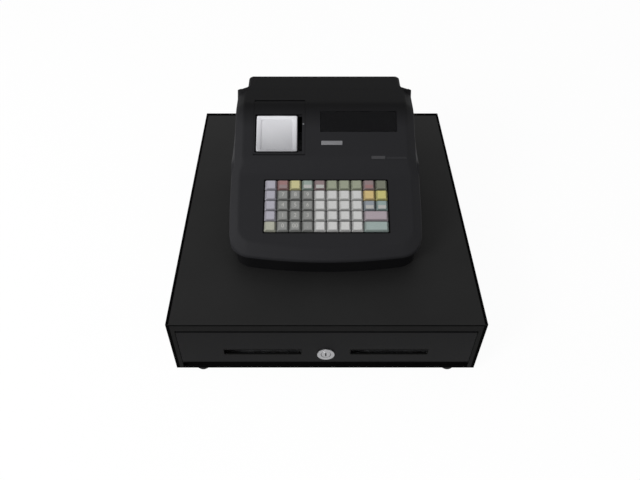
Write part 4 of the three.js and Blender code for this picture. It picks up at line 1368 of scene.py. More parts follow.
        sides = self.ring(False, lambda depth: wall)
        if wall:
            rings = [[(x, y, self.skirt) for x, y in sides]]
        else:
            foot = self.ring(False, lambda depth: self.skirt_edge)
            rings = [
                [(x, y, self.skirt) for x, y in foot],
                [(x, y, self.skirt + self.skirt_edge) for x, y in sides],
            ]
        rings.append([(x, y, belt(y)) for x, y in sides])
        for inset, drop in self.rim_profile():
            drawn = self.ring(True, lambda depth, inset=inset: wall + inset * share(depth))
            rings.append([(x, y, self.height(y) - drop * share(y) - roof) for x, y in drawn])
        return rings

    def shell(self) -> Solid:
        """Builds the whole hood with no openings.

        Returns:
            The hood, whose two open ends are closed by strips from side to side.
        """
        outer = self.rings(0.0, 0.0)
        inner = self.rings(self.wall, self.roof)
        solid = Solid()
        loops = solid.walls(outer[::-1] + inner)
        last = len(loops[0]) - 1
        for loop in (loops[0], loops[-1]):
            for i in range(last // 2):
                solid.form.faces.new((loop[i], loop[i + 1], loop[last - 1 - i], loop[last - i]))
        return solid.moved(PLACE.register())

    def on_surface(self, point: Vector) -> bool:
        """Tells whether a point lies on the outside of the hood's top."""
        depth, height = point.y - PLACE.face, point.z - PLACE.case_top
        return height > self.height(depth) - self.skin

    def build(self) -> None:
        """Makes the hood with its openings, and the two bosses that hold the cover's pins."""
        cover = PrinterCover()
        mouth_start = cover.start - cover.paper_slot
        mouth_end = cover.pivot + cover.pivot_drop + self.gap
        mouth = Solid().box(
            (cover.left - self.gap, mouth_start, PLACE.screen_height - self.overrun),
            (cover.right + self.gap, mouth_end, self.top_height + self.overrun),
        )
        hood = carve(self.shell().bare("hood_skin"), Cut.AWAY, mouth.moved(PLACE.register()))
        carve(hood, Cut.AWAY, *self.face_mouths())
        ease_rim(hood, self.on_surface, self.ease)
        height = self.top_height - cover.pivot_drop
        for side, way in ((cover.left - self.gap, -1), (cover.right + self.gap, 1)):
            left, right = sorted((side, side + way * self.boss_reach))
            boss = Solid().box(
                (left, cover.pivot - self.boss_half, height - self.boss_half),
                (right, cover.pivot + self.boss_half, self.top_height - self.roof / 2),
            )
            carve(hood, Cut.JOIN, boss.moved(PLACE.register()))
        finished(hood, HOOD_ABS, "case", stands_for=["hood"])

    def face_mouths(self) -> list[Solid]:
        """Gives the tools that cut the openings for the keys and the two displays.

        Returns:
            One solid for each opening.
        """
        keys = Keyboard()
        half_x, half_s = keys.mouth_half()
        deck = Solid().box(
            (keys.middle_x - half_x, keys.middle_s - half_s, -self.overrun),
            (keys.middle_x + half_x, keys.middle_s + half_s, self.overrun),
        )
        lens = Display()
        screen = PLACE.face_box(
            lens.left - self.gap, lens.right + self.gap,
            lens.start - self.gap, lens.start + lens.length + self.gap, -self.overrun, self.overrun,
        )
        low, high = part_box("rear_display_lens")
        rear = Solid().box(
            (low.x - self.gap, low.y - self.overrun, low.z - self.gap),
            (high.x + self.gap, high.y + self.overrun, high.z + self.gap),
        )
        return [deck.moved(PLACE.deck()), screen, rear]


@dataclass(frozen=True)
class PrinterCover:
    """The printer's cover, cut from the hood's own skin, with a well, a finger slot and a hinge.

    Depths and heights are measured as the hood's, and the well and the slot across the display face.
    """

    left: float = -98 * MM
    right: float = -27.7 * MM
    start: float = 211 * MM
    paper_slot: float = 2 * MM
    pivot: float = 284 * MM
    pivot_drop: float = 4.2 * MM
    pin: float = 2 * MM
    pin_reach: float = 3.4 * MM
    pin_sides: int = 24
    well: float = 2 * MM
    well_depth: float = 1.8 * MM
    grip_left: float = -36.8 * MM
    grip_right: float = -31.6 * MM
    grip_margin: float = 0.6 * MM

    def build(self) -> None:
        """Makes the cover with its openings, its barrel and its pins."""
        hood, window = Hood(), Window()
        gap, overrun = hood.gap, hood.overrun
        region = Solid().box(
            (self.left, self.start, PLACE.screen_height - overrun),
            (self.right, self.pivot, hood.top_height + overrun),
        )
        cover = carve(hood.shell().bare("printer_cover_skin"), Cut.COMMON, region.moved(PLACE.register()))
        end = window.start + window.length
        carve(
            cover,
            Cut.AWAY,
            PLACE.face_box(
                window.left - self.well, self.grip_right,
                window.start - self.well, end + self.well, -self.well_depth, overrun,
            ),
            PLACE.face_box(
                window.left - gap, window.right + gap, window.start - gap, end + gap, -overrun, overrun
            ),
            PLACE.face_box(
                self.grip_left, self.grip_right,
                window.start + self.grip_margin, end - self.grip_margin, -overrun, overrun,
            ),
        )
        ease_rim(cover, hood.on_surface, hood.ease)
        height = hood.top_height - self.pivot_drop
        centre = (self.pivot + PLACE.face, height + PLACE.case_top)
        barrel = [(self.pivot_drop, self.left), (self.pivot_drop, self.right)]
        pins = [(self.pin, self.left - self.pin_reach), (self.pin, self.right + self.pin_reach)]
        carve(
            cover,
            Cut.JOIN,
            Solid().revolve(barrel, Axis.X, centre),
            Solid().revolve(pins, Axis.X, centre, sides=self.pin_sides),
        )
        finished(cover, HOOD_ABS, "cover", stands_for=["printer_cover"])


@dataclass(frozen=True)
class Window:
    """The receipt window: a bowed pane in a bright rim, a dark gasket round it as painted shade, and the
    light pip beside it.

    Places are across the display face, up its slope and out of it.
    """

    left: float = -94.1 * MM
    right: float = -38.3 * MM
    start: float = 11.8 * MM
    length: float = 53.6 * MM
    side_band: float = 6.6 * MM
    head_band: float = 6 * MM
    foot_band: float = 2.6 * MM
    floor: float = -2.7 * MM
    brim: float = 0.3 * MM
    shoulder: float = -0.6 * MM
    chamfer: float = 0.9 * MM
    corner: float = 2.5 * MM
    pane_edge: float = -0.5 * MM
    pane_chamfer: float = 1.4 * MM
    pane_corner: float = 1.6 * MM
    pane_drop: float = 0.8 * MM
    pane_bow: float = 0.5 * MM
    pane_overlap: float = 0.05 * MM
    pane_steps: int = 8
    shade_seal_fit: float = 0.1 * MM
    shade_seal_lift: float = 0.02 * MM
    shade_seal_height: float = 0.5 * MM
    pip: Pair = (-29.8 * MM, 52.6 * MM)
    pip_radius: float = 1.1 * MM
    pip_foot: float = -0.5 * MM
    pip_shoulder: float = 0.2 * MM
    pip_top: float = 0.4 * MM
    pip_top_share: float = 0.7
    pip_sides: int = 20

    def build(self) -> None:
        """Makes the rim and the pane, which stand in the cover's well, and what lies round them."""
        half_x = (self.right - self.left) / 2
        half_s = self.length / 2
        outer = [
            [(x, y, z) for x, y in rounded_rectangle(half_x - cut, half_s - cut, self.corner)]
            for cut, z in ((0.0, self.floor), (0.0, self.shoulder), (self.chamfer, self.brim))
        ]
        pane_x = half_x - self.side_band
        pane_s = half_s - (self.head_band + self.foot_band) / 2
        lean = (self.foot_band - self.head_band) / 2

        def pane_outline(grow: float) -> list[Pair]:
            """Gives the pane's outline, grown by a width."""
            outline = rounded_rectangle(pane_x + grow, pane_s + grow, self.pane_corner)
            return [(x, y + lean) for x, y in outline]

        inner = [
            [(x, y, z) for x, y in pane_outline(grow)]
            for grow, z in ((self.pane_chamfer, self.brim), (0.0, self.pane_edge), (0.0, self.floor))
        ]
        middle = ((self.left + self.right) / 2, self.start + half_s, 0.0)
        shift = PLACE.screen() @ Matrix.Translation(middle)
        Solid().loft(outer + inner, closed=True).moved(shift).piece(
            "window_rim", POLYCARBONATE_RIM, "cover", stands_for=["cover_window"]
        )
        outline = pane_outline(self.pane_overlap)
        pane = [[(x, y, self.floor) for x, y in outline]]
        for k in range(self.pane_steps):
            share = k / self.pane_steps
            rest = 1 - share
            z = self.pane_bow * (1 - rest**2) - self.pane_drop
            pane.append([(x * rest, y * rest + lean * share, z) for x, y in outline])
        Solid().loft(pane).moved(shift).piece("window_pane", POLYCARBONATE, "cover")
        self.build_pip()
        self.build_shade_gasket()

    def build_pip(self) -> None:
        """Sets the small light pip beside the window."""
        profile = [
            (self.pip_radius, self.pip_foot),
            (self.pip_radius, self.pip_shoulder),
            (self.pip_radius * self.pip_top_share, self.pip_top),
        ]
        pip = Solid().revolve(profile, Axis.Z, self.pip, sides=self.pip_sides)
        pip.moved(PLACE.screen()).piece("cover_pip", SILVER_LACQUER, "cover")

    def build_shade_gasket(self) -> None:
        """Lays a near-black gasket on the floor of the cover's well, all round the window: painted shade for
        the shadow round it.
        """
        cover, fit = PrinterCover(), self.shade_seal_fit
        left, right = self.left - fit, self.right + fit
        near, far = self.start - fit, self.start + self.length + fit
        first, last = self.left - cover.well + fit, cover.grip_left - fit
        bottom, top = near - cover.well + 2 * fit, far + cover.well - 2 * fit
        low, high = self.shade_seal_lift - cover.well_depth, self.shade_seal_height - cover.well_depth
        # painted shade: a near-black ring for the shadow round the window
        shade_seal = Solid()
        for x0, x1, s0, s1 in (
            (first, left, bottom, top),
            (right, last, bottom, top),
            (left, right, bottom, near),
            (left, right, far, top),
        ):
            shade_seal.box((x0, s0, low), (x1, s1, high))
        shade_seal.moved(PLACE.screen()).piece("window_shade_gasket", SHADE_GASKET_RUBBER, "cover")


@dataclass(frozen=True)
class Keyboard:
    """Fifty key places on the deck: caps with printed labels, and digits on the number pad.

    Places are across the deck and up its slope, and heights are out of it.
    """

    pitch_x: float = 16.4 * MM
    pitch_s: float = 14.8 * MM
    gap: float = 1.4 * MM
    columns: int = 10
    rows: int = 5
    middle_x: float = 0.8 * MM
    middle_s: float = 59.6 * MM
    border: float = 1 * MM
    top: float = 3.2 * MM
    foot: float = 3 * MM
    corner: float = 1.1 * MM
    corner_loss_share: float = 1 / 3
    foot_ease: float = 0.25 * MM
    foot_band: float = 0.5 * MM
    skirt_grow: float = 0.3 * MM
    skirt_top: float = 0.3 * MM
    shoulder_share: float = 0.9
    shoulder_drop: float = 0.3 * MM
    crown_drop: float = 0.06 * MM
    crown_cuts: Point = (0.15 * MM, 0.35 * MM, 0.5 * MM)
    side_slope: float = 2.1 * MM
    front_slope: float = 1.6 * MM
    rear_slope: float = 0.8 * MM
    label_drop: float = 0.15 * MM
    label_room: float = 0.02 * MM
    facing_up: float = 0.99
    digit_height: float = 5.6 * MM
    digit_share: float = 0.7
    digit_lift: float = 0.06 * MM
    digit_half_depth: float = 0.04 * MM
    digit_steps: int = 4
    shade_seam: float = 1.2 * MM
    shade_seam_proud: float = 0.12 * MM
    shade_seam_sunk: float = -0.3 * MM
    pad_columns: int = 3
    pad: tuple[str, ...] = ("7", "8", "9", "4", "5", "6", "1", "2", "3", "0", "00", "point")
    wide: tuple[str, ...] = ("subtotal", "total")

    def mouth_half(self) -> Pair:
        """Gives half the size of the opening in the deck.

        Returns:
            Half its width and half its length.
        """
        return (
            (self.columns * self.pitch_x - self.gap) / 2 + self.border,
            (self.rows * self.pitch_s - self.gap) / 2 + self.border,
        )

    def lean(self) -> float:
        """Gives how far a label lies behind the middle of its key."""
        return (self.front_slope - self.rear_slope) / 2

    def centre(self, column: float, row: float) -> Pair:
        """Gives the middle of a key place.

        Args:
            column: the column, from the left.
            row: the row, from the rear.

        Returns:
            The middle, across and up the deck.
        """
        return (
            self.middle_x + (column - (self.columns - 1) / 2) * self.pitch_x,
            self.middle_s - (row - (self.rows - 1) / 2) * self.pitch_s,
        )

    def tints(self, column: int, row: int) -> tuple[KeyTint, KeyTint]:
        """Gives the colours of a function key's label.

        Args:
            column: the key's column, from the left.
            row: its row, from the rear.

        Returns:
            The colours of the label's rear half and of its front half.
        """
        top_row = (
            KeyTint.LILAC, KeyTint.RED, KeyTint.LEMON, KeyTint.MINT, KeyTint.ROSE,
            KeyTint.SAGE, KeyTint.SAGE, KeyTint.SAGE, KeyTint.ROSE, KeyTint.MOSS,
        )
        if row == 0:
            fronts = {1: KeyTint.ROSE, 3: KeyTint.WHITE, 4: KeyTint.WHITE, 8: KeyTint.RED}
            rear = top_row[column]
            return rear, fronts.get(column, rear)
        if column == 0:
            only = KeyTint.OLIVE if row == self.rows - 1 else KeyTint.LILAC
            return only, only
        if column >= self.columns - 2:
            pairs = {
                (8, 1): (KeyTint.ORANGE, KeyTint.ORANGE),
                (9, 1): (KeyTint.GOLD, KeyTint.GOLD),
                (8, 2): (KeyTint.BLUE_GREY, KeyTint.WHITE),
                (9, 2): (KeyTint.TEAL, KeyTint.WHITE),
            }
            return pairs[(column, row)]
        return KeyTint.PALE, KeyTint.PALE

    def cap(self, half_x: float, half_s: float) -> Solid:
        """Builds a cap that narrows to a shallow well for its label, round the origin.

        Args:
            half_x: half the cap's width.
            half_s: half its length.

        Returns:
            The cap. Its last two faces are the rear and the front half of the label.
        """
        crown, brim, well = self.crown_cuts
        # How much of the slopes is behind, how far the outline is drawn in besides, and the height
        levels = (
            (0.0, self.foot_ease, -self.foot),
            (0.0, 0.0, self.foot_band - self.foot),
            (0.0, 0.0, self.skirt_top),
            (self.shoulder_share, 0.0, self.top - self.shoulder_drop),
            (1.0, crown, self.top - self.crown_drop),
            (1.0, brim, self.top),
            (1.0, well, self.top - self.label_drop),
        )
        rings = []
        for share, cut, z in levels:
            inset = cut - self.skirt_grow
            side = half_x - share * self.side_slope - inset
            end = half_s - share * (self.front_slope + self.rear_slope) / 2 - inset
            outline = rounded_rectangle(side, end, self.corner * (1 - share * self.corner_loss_share))
            rings.append([(x, y + share * self.lean(), z) for x, y in outline])
        solid = Solid().loft(rings)
        solid.form.faces.ensure_lookup_table()
        lid = solid.form.faces[-1]
        bmesh.ops.bisect_plane(
            solid.form,
            geom=[lid, *lid.edges, *lid.verts],
            plane_co=(0.0, 0.0, 0.0),
            plane_no=(0.0, 1.0, 0.0),
        )
        return solid

    def add_key(
        self,
        name: str,
        place: Pair,
        half_x: float,
        tints: tuple[KeyTint, KeyTint],
        body: str,
        stands_for: str,
    ) -> None:
        """Makes one key.

        Args:
            name: the piece's name.
            place: the key's middle, across and up the deck.
            half_x: half its width.
            tints: the colours of the label's rear and front halves.
            body: the body that it moves with.
            stands_for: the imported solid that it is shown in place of.
        """
        half_s = (self.pitch_s - self.gap) / 2
        shift = PLACE.deck() @ Matrix.Translation((*place, 0.0))
        key = self.cap(half_x, half_s).moved(shift).bare(name)
        rear, front = tints
        for material in (rear.cap().material(), rear.label().material(), front.label().material()):
            key.data.materials.append(material)
        normal = (shift.to_3x3() @ Vector((0.0, 0.0, 1.0))).normalized()
        level = self.top - self.label_drop
        for face in key.data.polygons:
            local = shift.inverted() @ face.center
            if abs(local.z - level) < self.label_room and face.normal.dot(normal) > self.facing_up:
                face.material_index = 1 if local.y > 0 else 2
        finished(key, rear.cap(), body, stands_for=[stands_for])

    def add_digit(self, text: str, name: str, place: Pair, body: str) -> None:
        """Prints a digit on a key's label.

        Args:
            text: what it says.
            name: the piece's name.
            place: the key's middle, across and up the deck.
            body: the body that it moves with.
        """
        curve = bpy.data.curves.new(name, "FONT")
        curve.body = text
        curve.size = self.digit_height / self.digit_share
        curve.align_x = "CENTER"
        curve.align_y = "CENTER"
        curve.extrude = self.digit_half_depth
        curve.resolution_u = self.digit_steps
        written = add_object(name, curve)
        mesh = worked_out(written)
        bpy.data.objects.remove(written)
        raised = self.top - self.label_drop + self.digit_lift
        mesh.transform(PLACE.deck() @ Matrix.Translation((place[0], place[1] + self.lean(), raised)))
        digit = add_object(name, mesh)
        digit.data.materials.clear()
        finished(digit, KEY_INK, body)

    def build(self) -> None:
        """Makes all keys and dresses what carries them."""
        half_x = (self.pitch_x - self.gap) / 2
        wide_row = self.rows - len(self.wide)
        for row in range(self.rows):
            for column in range(self.columns):
                place = self.centre(column, row)
                if row >= 1 and 1 <= column <= self.pad_columns:
                    label = self.pad[(row - 1) * self.pad_columns + column - 1]
                    body = f"key_{label}_cap"
                    dark = (KeyTint.DARK, KeyTint.DARK)
                    self.add_key(f"keycap_{label}", place, half_x, dark, body, f"key_{label}")
                    self.add_digit("." if label == "point" else label, f"legend_{label}", place, body)
                elif row >= wide_row and column >= self.columns - 2:
                    if column == self.columns - 2:
                        label = self.wide[row - wide_row]
                        middle = self.centre(column + 0.5, row)
                        colour = (KeyTint.PINK, KeyTint.JADE)[row - wide_row]
                        self.add_key(
                            f"keycap_{label}", middle, half_x + self.pitch_x / 2,
                            (colour, colour), f"key_{label}_cap", f"key_{label}",
                        )
                else:
                    name = f"keycap_row{row + 1}_column{column + 1}"
                    self.add_key(name, place, half_x, self.tints(column, row), "case", "function_keys")
        self.build_shade_seam()
        dress("key_frame", FRAME_NYLON)
        dress("key_board", LAMINATE)

    def build_shade_seam(self) -> None:
        """Lays a near-black ring on the deck, round the opening of the keys: painted shade for the dark line
        there.
        """
        half_x, half_s = self.mouth_half()
        proud, sunk = self.shade_seam_proud, self.shade_seam_sunk
        section = [(self.shade_seam, proud), (0.0, proud), (0.0, sunk), (self.shade_seam, sunk)]
        rings = [
            [(x, y, z) for x, y in rounded_rectangle(half_x + grow, half_s + grow, self.corner)]
            for grow, z in section
        ]
        shift = PLACE.deck() @ Matrix.Translation((self.middle_x, self.middle_s, 0.0))
        # painted shade: a near-black ring round the opening of the keys
        Solid().loft(rings, closed=True).moved(shift).piece("key_painted_shade", SHADE_GASKET_RUBBER, "case")


@dataclass(frozen=True)
class Display:
    """The operator's display: smoked lens, cell and dim segments, and the lens at the rear.

    Places are across the display face, up its slope and out of it.
    """

    left: float = -6.6 * MM
    right: float = 98.4 * MM
    start: float = 41 * MM
    length: float = 31 * MM
    digit_height: float = 11 * MM
    digit_width: float = 6.5 * MM
    digit_pitch: float = 10 * MM
    stroke: float = 1.1 * MM
    text: str = "0.00"
    text_pitches: float = 3.2
    cell_top: float = -3.5 * MM
    ink_foot: float = 0.02 * MM
    ink_top: float = 0.12 * MM

    def bars(self, text: str) -> list[Extent]:
        """Gives the bars of some seven-segment noughts.

        Args:
            text: noughts, with a point after one as a separate sign.

        Returns:
            Low x, high x, low y and high y of each bar, from the text's lower left corner.
        """
        width, height, stroke = self.digit_width, self.digit_height, self.stroke
        half = height / 2
        segments = (
            (0.0, width, height - stroke, height),
            (width - stroke, width, half, height),
            (width - stroke, width, 0.0, half),
            (0.0, width, 0.0, stroke),
            (0.0, stroke, 0.0, half),
            (0.0, stroke, half, height),
        )
        bars = []
        left = 0.0
        for sign in text:
            if sign == ".":
                dot = left - (self.digit_pitch - width) / 2
                bars.append((dot - stroke / 2, dot + stroke / 2, 0.0, stroke))
                continue
            bars += [(left + x0, left + x1, y0, y1) for x0, x1, y0, y1 in segments]
            left += self.digit_pitch
        return bars

    def build(self) -> None:
        """Dresses the lenses and the cell, and draws the digits of an empty sale."""
        dress("display_lens", SMOKED_ACRYLIC, Edge.BROAD)
        dress("display_module", CELL_GLASS, Edge.MOULDED)
        dress("rear_display_lens", SMOKED_ACRYLIC, Edge.FULL)
        corner_x = self.right - self.text_pitches * self.digit_pitch
        corner_s = self.start + (self.length - self.digit_height) / 2
        digits = Solid()
        for x0, x1, y0, y1 in self.bars(self.text):
            digits.box(
                (corner_x + x0, corner_s + y0, self.cell_top + self.ink_foot),
                (corner_x + x1, corner_s + y1, self.cell_top + self.ink_top),
            )
        digits.moved(PLACE.screen()).piece("display_digits", SEGMENT, "case")


@dataclass(frozen=True)
class Plates:
    """The bare badge bar, and the small bare plate with its line.

    Each has its low and high place across the display face, and its low and high place up the slope.
    """

    badge: Extent = (-5.4 * MM, 23.4 * MM, 20.9 * MM, 27 * MM)
    badge_proud: float = 0.5 * MM
    small: Extent = (62.5 * MM, 81 * MM, 0.2 * MM, 4.6 * MM)
    small_proud: float = 0.25 * MM
    line: Extent = (82.5 * MM, 110 * MM, 0.4 * MM, 3.2 * MM)
    line_proud: float = 0.12 * MM
    sunk: float = -0.5 * MM
    ease: float = 0.2 * MM
    corner: float = 0.8 * MM
    corner_share: float = 0.6

    def plate(self, name: str, sizes: Extent, finish: Finish, proud: float) -> None:
        """Makes a thin plate with round corners on the display face.

        Args:
            name: the piece's name.
            sizes: low and high place across, and low and high place up the face.
            finish: what it is made of.
            proud: how far it stands out.
        """
        x0, x1, s0, s1 = sizes
        half_x, half_s = (x1 - x0) / 2, (s1 - s0) / 2
        radius = min(self.corner, half_s * self.corner_share)
        levels = ((0.0, self.sunk), (0.0, proud - self.ease), (self.ease, proud))
        rings = [
            [(x, y, z) for x, y in rounded_rectangle(half_x - cut, half_s - cut, radius)]
            for cut, z in levels
        ]
        shift = PLACE.screen() @ Matrix.Translation(((x0 + x1) / 2, (s0 + s1) / 2, 0.0))
        Solid().loft(rings).moved(shift).piece(name, finish, "case")

    def build(self) -> None:
        """Makes the plates."""
        self.plate("badge_bar", self.badge, SILVER_LACQUER, self.badge_proud)
        self.plate("small_plate", self.small, GREY_LACQUER, self.small_proud)
        self.plate("small_plate_line", self.line, DARK_LACQUER, self.line_proud)


@dataclass(frozen=True)
class Lock:
    """The drawer's lock: a chromed bezel, the plug with its keyway, and the cam behind."""

    bezel_radius: float = 11.5 * MM
    bezel_ease: float = 0.9 * MM
    bezel_lip: Pair = (0.25 * MM, 0.3 * MM)
    barrel_radius: float = 9.5 * MM
    bore: float = 6.6 * MM
    bore_ease: float = 0.6 * MM
    bore_lip: float = 0.1 * MM
    proud: float = 2 * MM
    seat_gap: float = 0.05 * MM
    plug_radius: float = 6.2 * MM
    plug_ease: float = 0.5 * MM
    plug_dimple: float = 0.4 * MM
    tail_radius: float = 2.5 * MM
    tail_length: float = 5 * MM
    keyway_width: float = 1.6 * MM
    keyway_height: float = 7 * MM
    keyway_depth: float = 6 * MM
    overrun: float = 4 * MM
    bezel_sides: int = 64
    edge: float = 0.15 * MM

    def build(self) -> None:
        """Makes the bezel and the plug with their rounded edges, and dresses the cam."""
        low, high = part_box("lock_bezel")
        centre = Axis.Y.middle("lock_bezel")
        front, rear = low.y, high.y
        seat = front + self.proud - self.seat_gap
        bezel = [
            (self.bore, rear),
            (self.bore, front + self.bore_ease),
            (self.bore + self.bore_ease, front + self.bore_lip),
            (self.bore + 2 * self.bore_ease, front),
            (self.bezel_radius - self.bezel_ease, front),
            (self.bezel_radius - self.bezel_lip[0], front + self.bezel_lip[1]),
            (self.bezel_radius, front + self.bezel_ease),
            (self.bezel_radius, seat),
            (self.barrel_radius, seat),
            (self.barrel_radius, rear),
        ]
        Solid().revolve(bezel, Axis.Y, centre, sides=self.bezel_sides, closed=True).piece(
            "lock_ring", CHROME, "drawer", stands_for=["lock_bezel"]
        )
        plug_low, plug_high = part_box("lock_plug")
        face, tail = plug_low.y, plug_high.y
        shoulder = tail - self.tail_length
        plug = [
            (self.plug_dimple, face + self.plug_ease),
            (self.plug_radius - self.plug_ease, face),
            (self.plug_radius, face + self.plug_ease),
            (self.plug_radius, shoulder),
            (self.tail_radius, shoulder),
            (self.tail_radius, tail),
        ]
        core = Solid().revolve(plug, Axis.Y, centre).bare("lock_core_plug")
        half_width, half_height = self.keyway_width / 2, self.keyway_height / 2
        keyway = Solid().box(
            (centre[0] - half_width, face - self.overrun, centre[1] - half_height),
            (centre[0] + half_width, face + self.keyway_depth, centre[1] + half_height),
        )
        carve(core, Cut.AWAY, keyway)
        finished(core, CHROME, "lock_core", self.edge, stands_for=["lock_plug"])
        dress("lock_cam", ZINC, Edge.PRESSED)


@dataclass(frozen=True)
class TurnedParts:
    """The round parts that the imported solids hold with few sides: feet, rollers, paper roll and spring."""

    sides: int = 56
    ease: float = 0.5 * MM
    foot_bore: float = 2.2 * MM
    foot_toe: float = 10 * MM
    foot_top: float = 11 * MM
    toe_points: tuple[Pair, ...] = ((-1.5 * MM, 0.0), (-0.4 * MM, 0.4 * MM), (0.1 * MM, 1.5 * MM))
    foot_belly_share: float = 0.6
    roller_bore: float = 2.9 * MM
    roller_radius: float = 8 * MM
    roller_ease: float = 0.6 * MM
    hub_radius: float = 4.6 * MM
    web_radius: float = 6.4 * MM
    web_slope: float = 0.2 * MM
    roll_radius: float = 23 * MM
    roll_core: float = 6 * MM
    roll_ease: float = 0.3 * MM
    roll_sides: int = 96
    wire: float = 0.6 * MM
    wire_sides: int = 10
    turns: int = 7
    turn_steps: int = 28

    def build(self) -> None:
        """Makes each of them."""
        for end in ("front", "rear"):
            for side in ("left", "right"):
                self.foot(f"foot_{end}_{side}")
                self.roller(f"roller_{end}_{side}")
        self.roll()
        self.spring()

    def foot(self, node: str) -> None:
        """Makes a rubber foot with a rounded toe and a screw hole.

        Args:
            node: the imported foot's name.
        """
        low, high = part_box(node)
        bore, toe, belly = self.foot_bore, self.foot_toe, self.foot_belly_share
        profile = [
            (bore, high.z),
            (bore, low.z + self.ease),
            (bore + self.ease, low.z),
            *((toe + across, low.z + up) for across, up in self.toe_points),
            (toe + (self.foot_top - toe) * belly, low.z + (high.z - low.z) * belly),
            (self.foot_top, high.z),
        ]
        centre = Axis.Z.middle(node)
        Solid().revolve(profile, Axis.Z, centre, self.sides, closed=True).piece(
            f"{node}_pad", RUBBER, "case", stands_for=[node]
        )

    def roller(self, node: str) -> None:
        """Makes a nylon roller with a hub and a rounded tread.

        Args:
            node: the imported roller's name.
        """
        low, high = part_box(node)
        bore, radius, ease = self.roller_bore, self.roller_radius, self.roller_ease
        profile = [
            (bore, low.x),
            (self.hub_radius, low.x),
            (self.hub_radius + self.web_slope, low.x + self.ease),
            (self.web_radius, low.x + self.ease),
            (self.web_radius + self.web_slope, low.x),
            (radius - ease, low.x),
            (radius, low.x + ease),
            (radius, high.x - ease),
            (radius - ease, high.x),
            (bore, high.x),
        ]
        centre = Axis.X.middle(node)
        Solid().revolve(profile, Axis.X, centre, self.sides, closed=True).piece(
            f"{node}_tyre", NYLON, f"{node}_wheel", stands_for=[node]
        )

    def roll(self) -> None:
        """Makes the paper roll, a tube with softened edges."""
        low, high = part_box("paper_roll")
        radius, core, ease = self.roll_radius, self.roll_core, self.roll_ease
        profile = [
            (core, low.x),
            (radius - ease, low.x),
            (radius, low.x + ease),
            (radius, high.x - ease),
            (radius - ease, high.x),
            (core, high.x),
        ]
        centre = Axis.X.middle("paper_roll")
        Solid().revolve(profile, Axis.X, centre, self.roll_sides, closed=True).piece(
            "receipt_paper", ROLL_PAPER, "receipt_roll", stands_for=["paper_roll"]
        )

    def spring(self) -> None:
        """Makes the eject spring, a wire wound round its post."""
        low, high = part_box("eject_spring")
        radius = (high.z - low.z) / 2 - self.wire
        middle_x, middle_z = Axis.Y.middle("eject_spring")
        start, stop = low.y + self.wire, high.y - self.wire
        rise = Vector((0.0, 1.0, 0.0))
        around = [FULL_TURN * k / self.wire_sides for k in range(self.wire_sides)]
        count = self.turns * self.turn_steps
        rings = []
        for i in range(count + 1):
            angle = FULL_TURN * i / self.turn_steps
            out = Vector((math.cos(angle), 0.0, math.sin(angle)))
            place = Vector((middle_x, start + (stop - start) * i / count, middle_z)) + out * radius
            rings.append([place + (out * math.cos(a) + rise * math.sin(a)) * self.wire for a in around])
        Solid().loft(rings).piece("eject_coil", SPRING_STEEL, "case", stands_for=["eject_spring"])


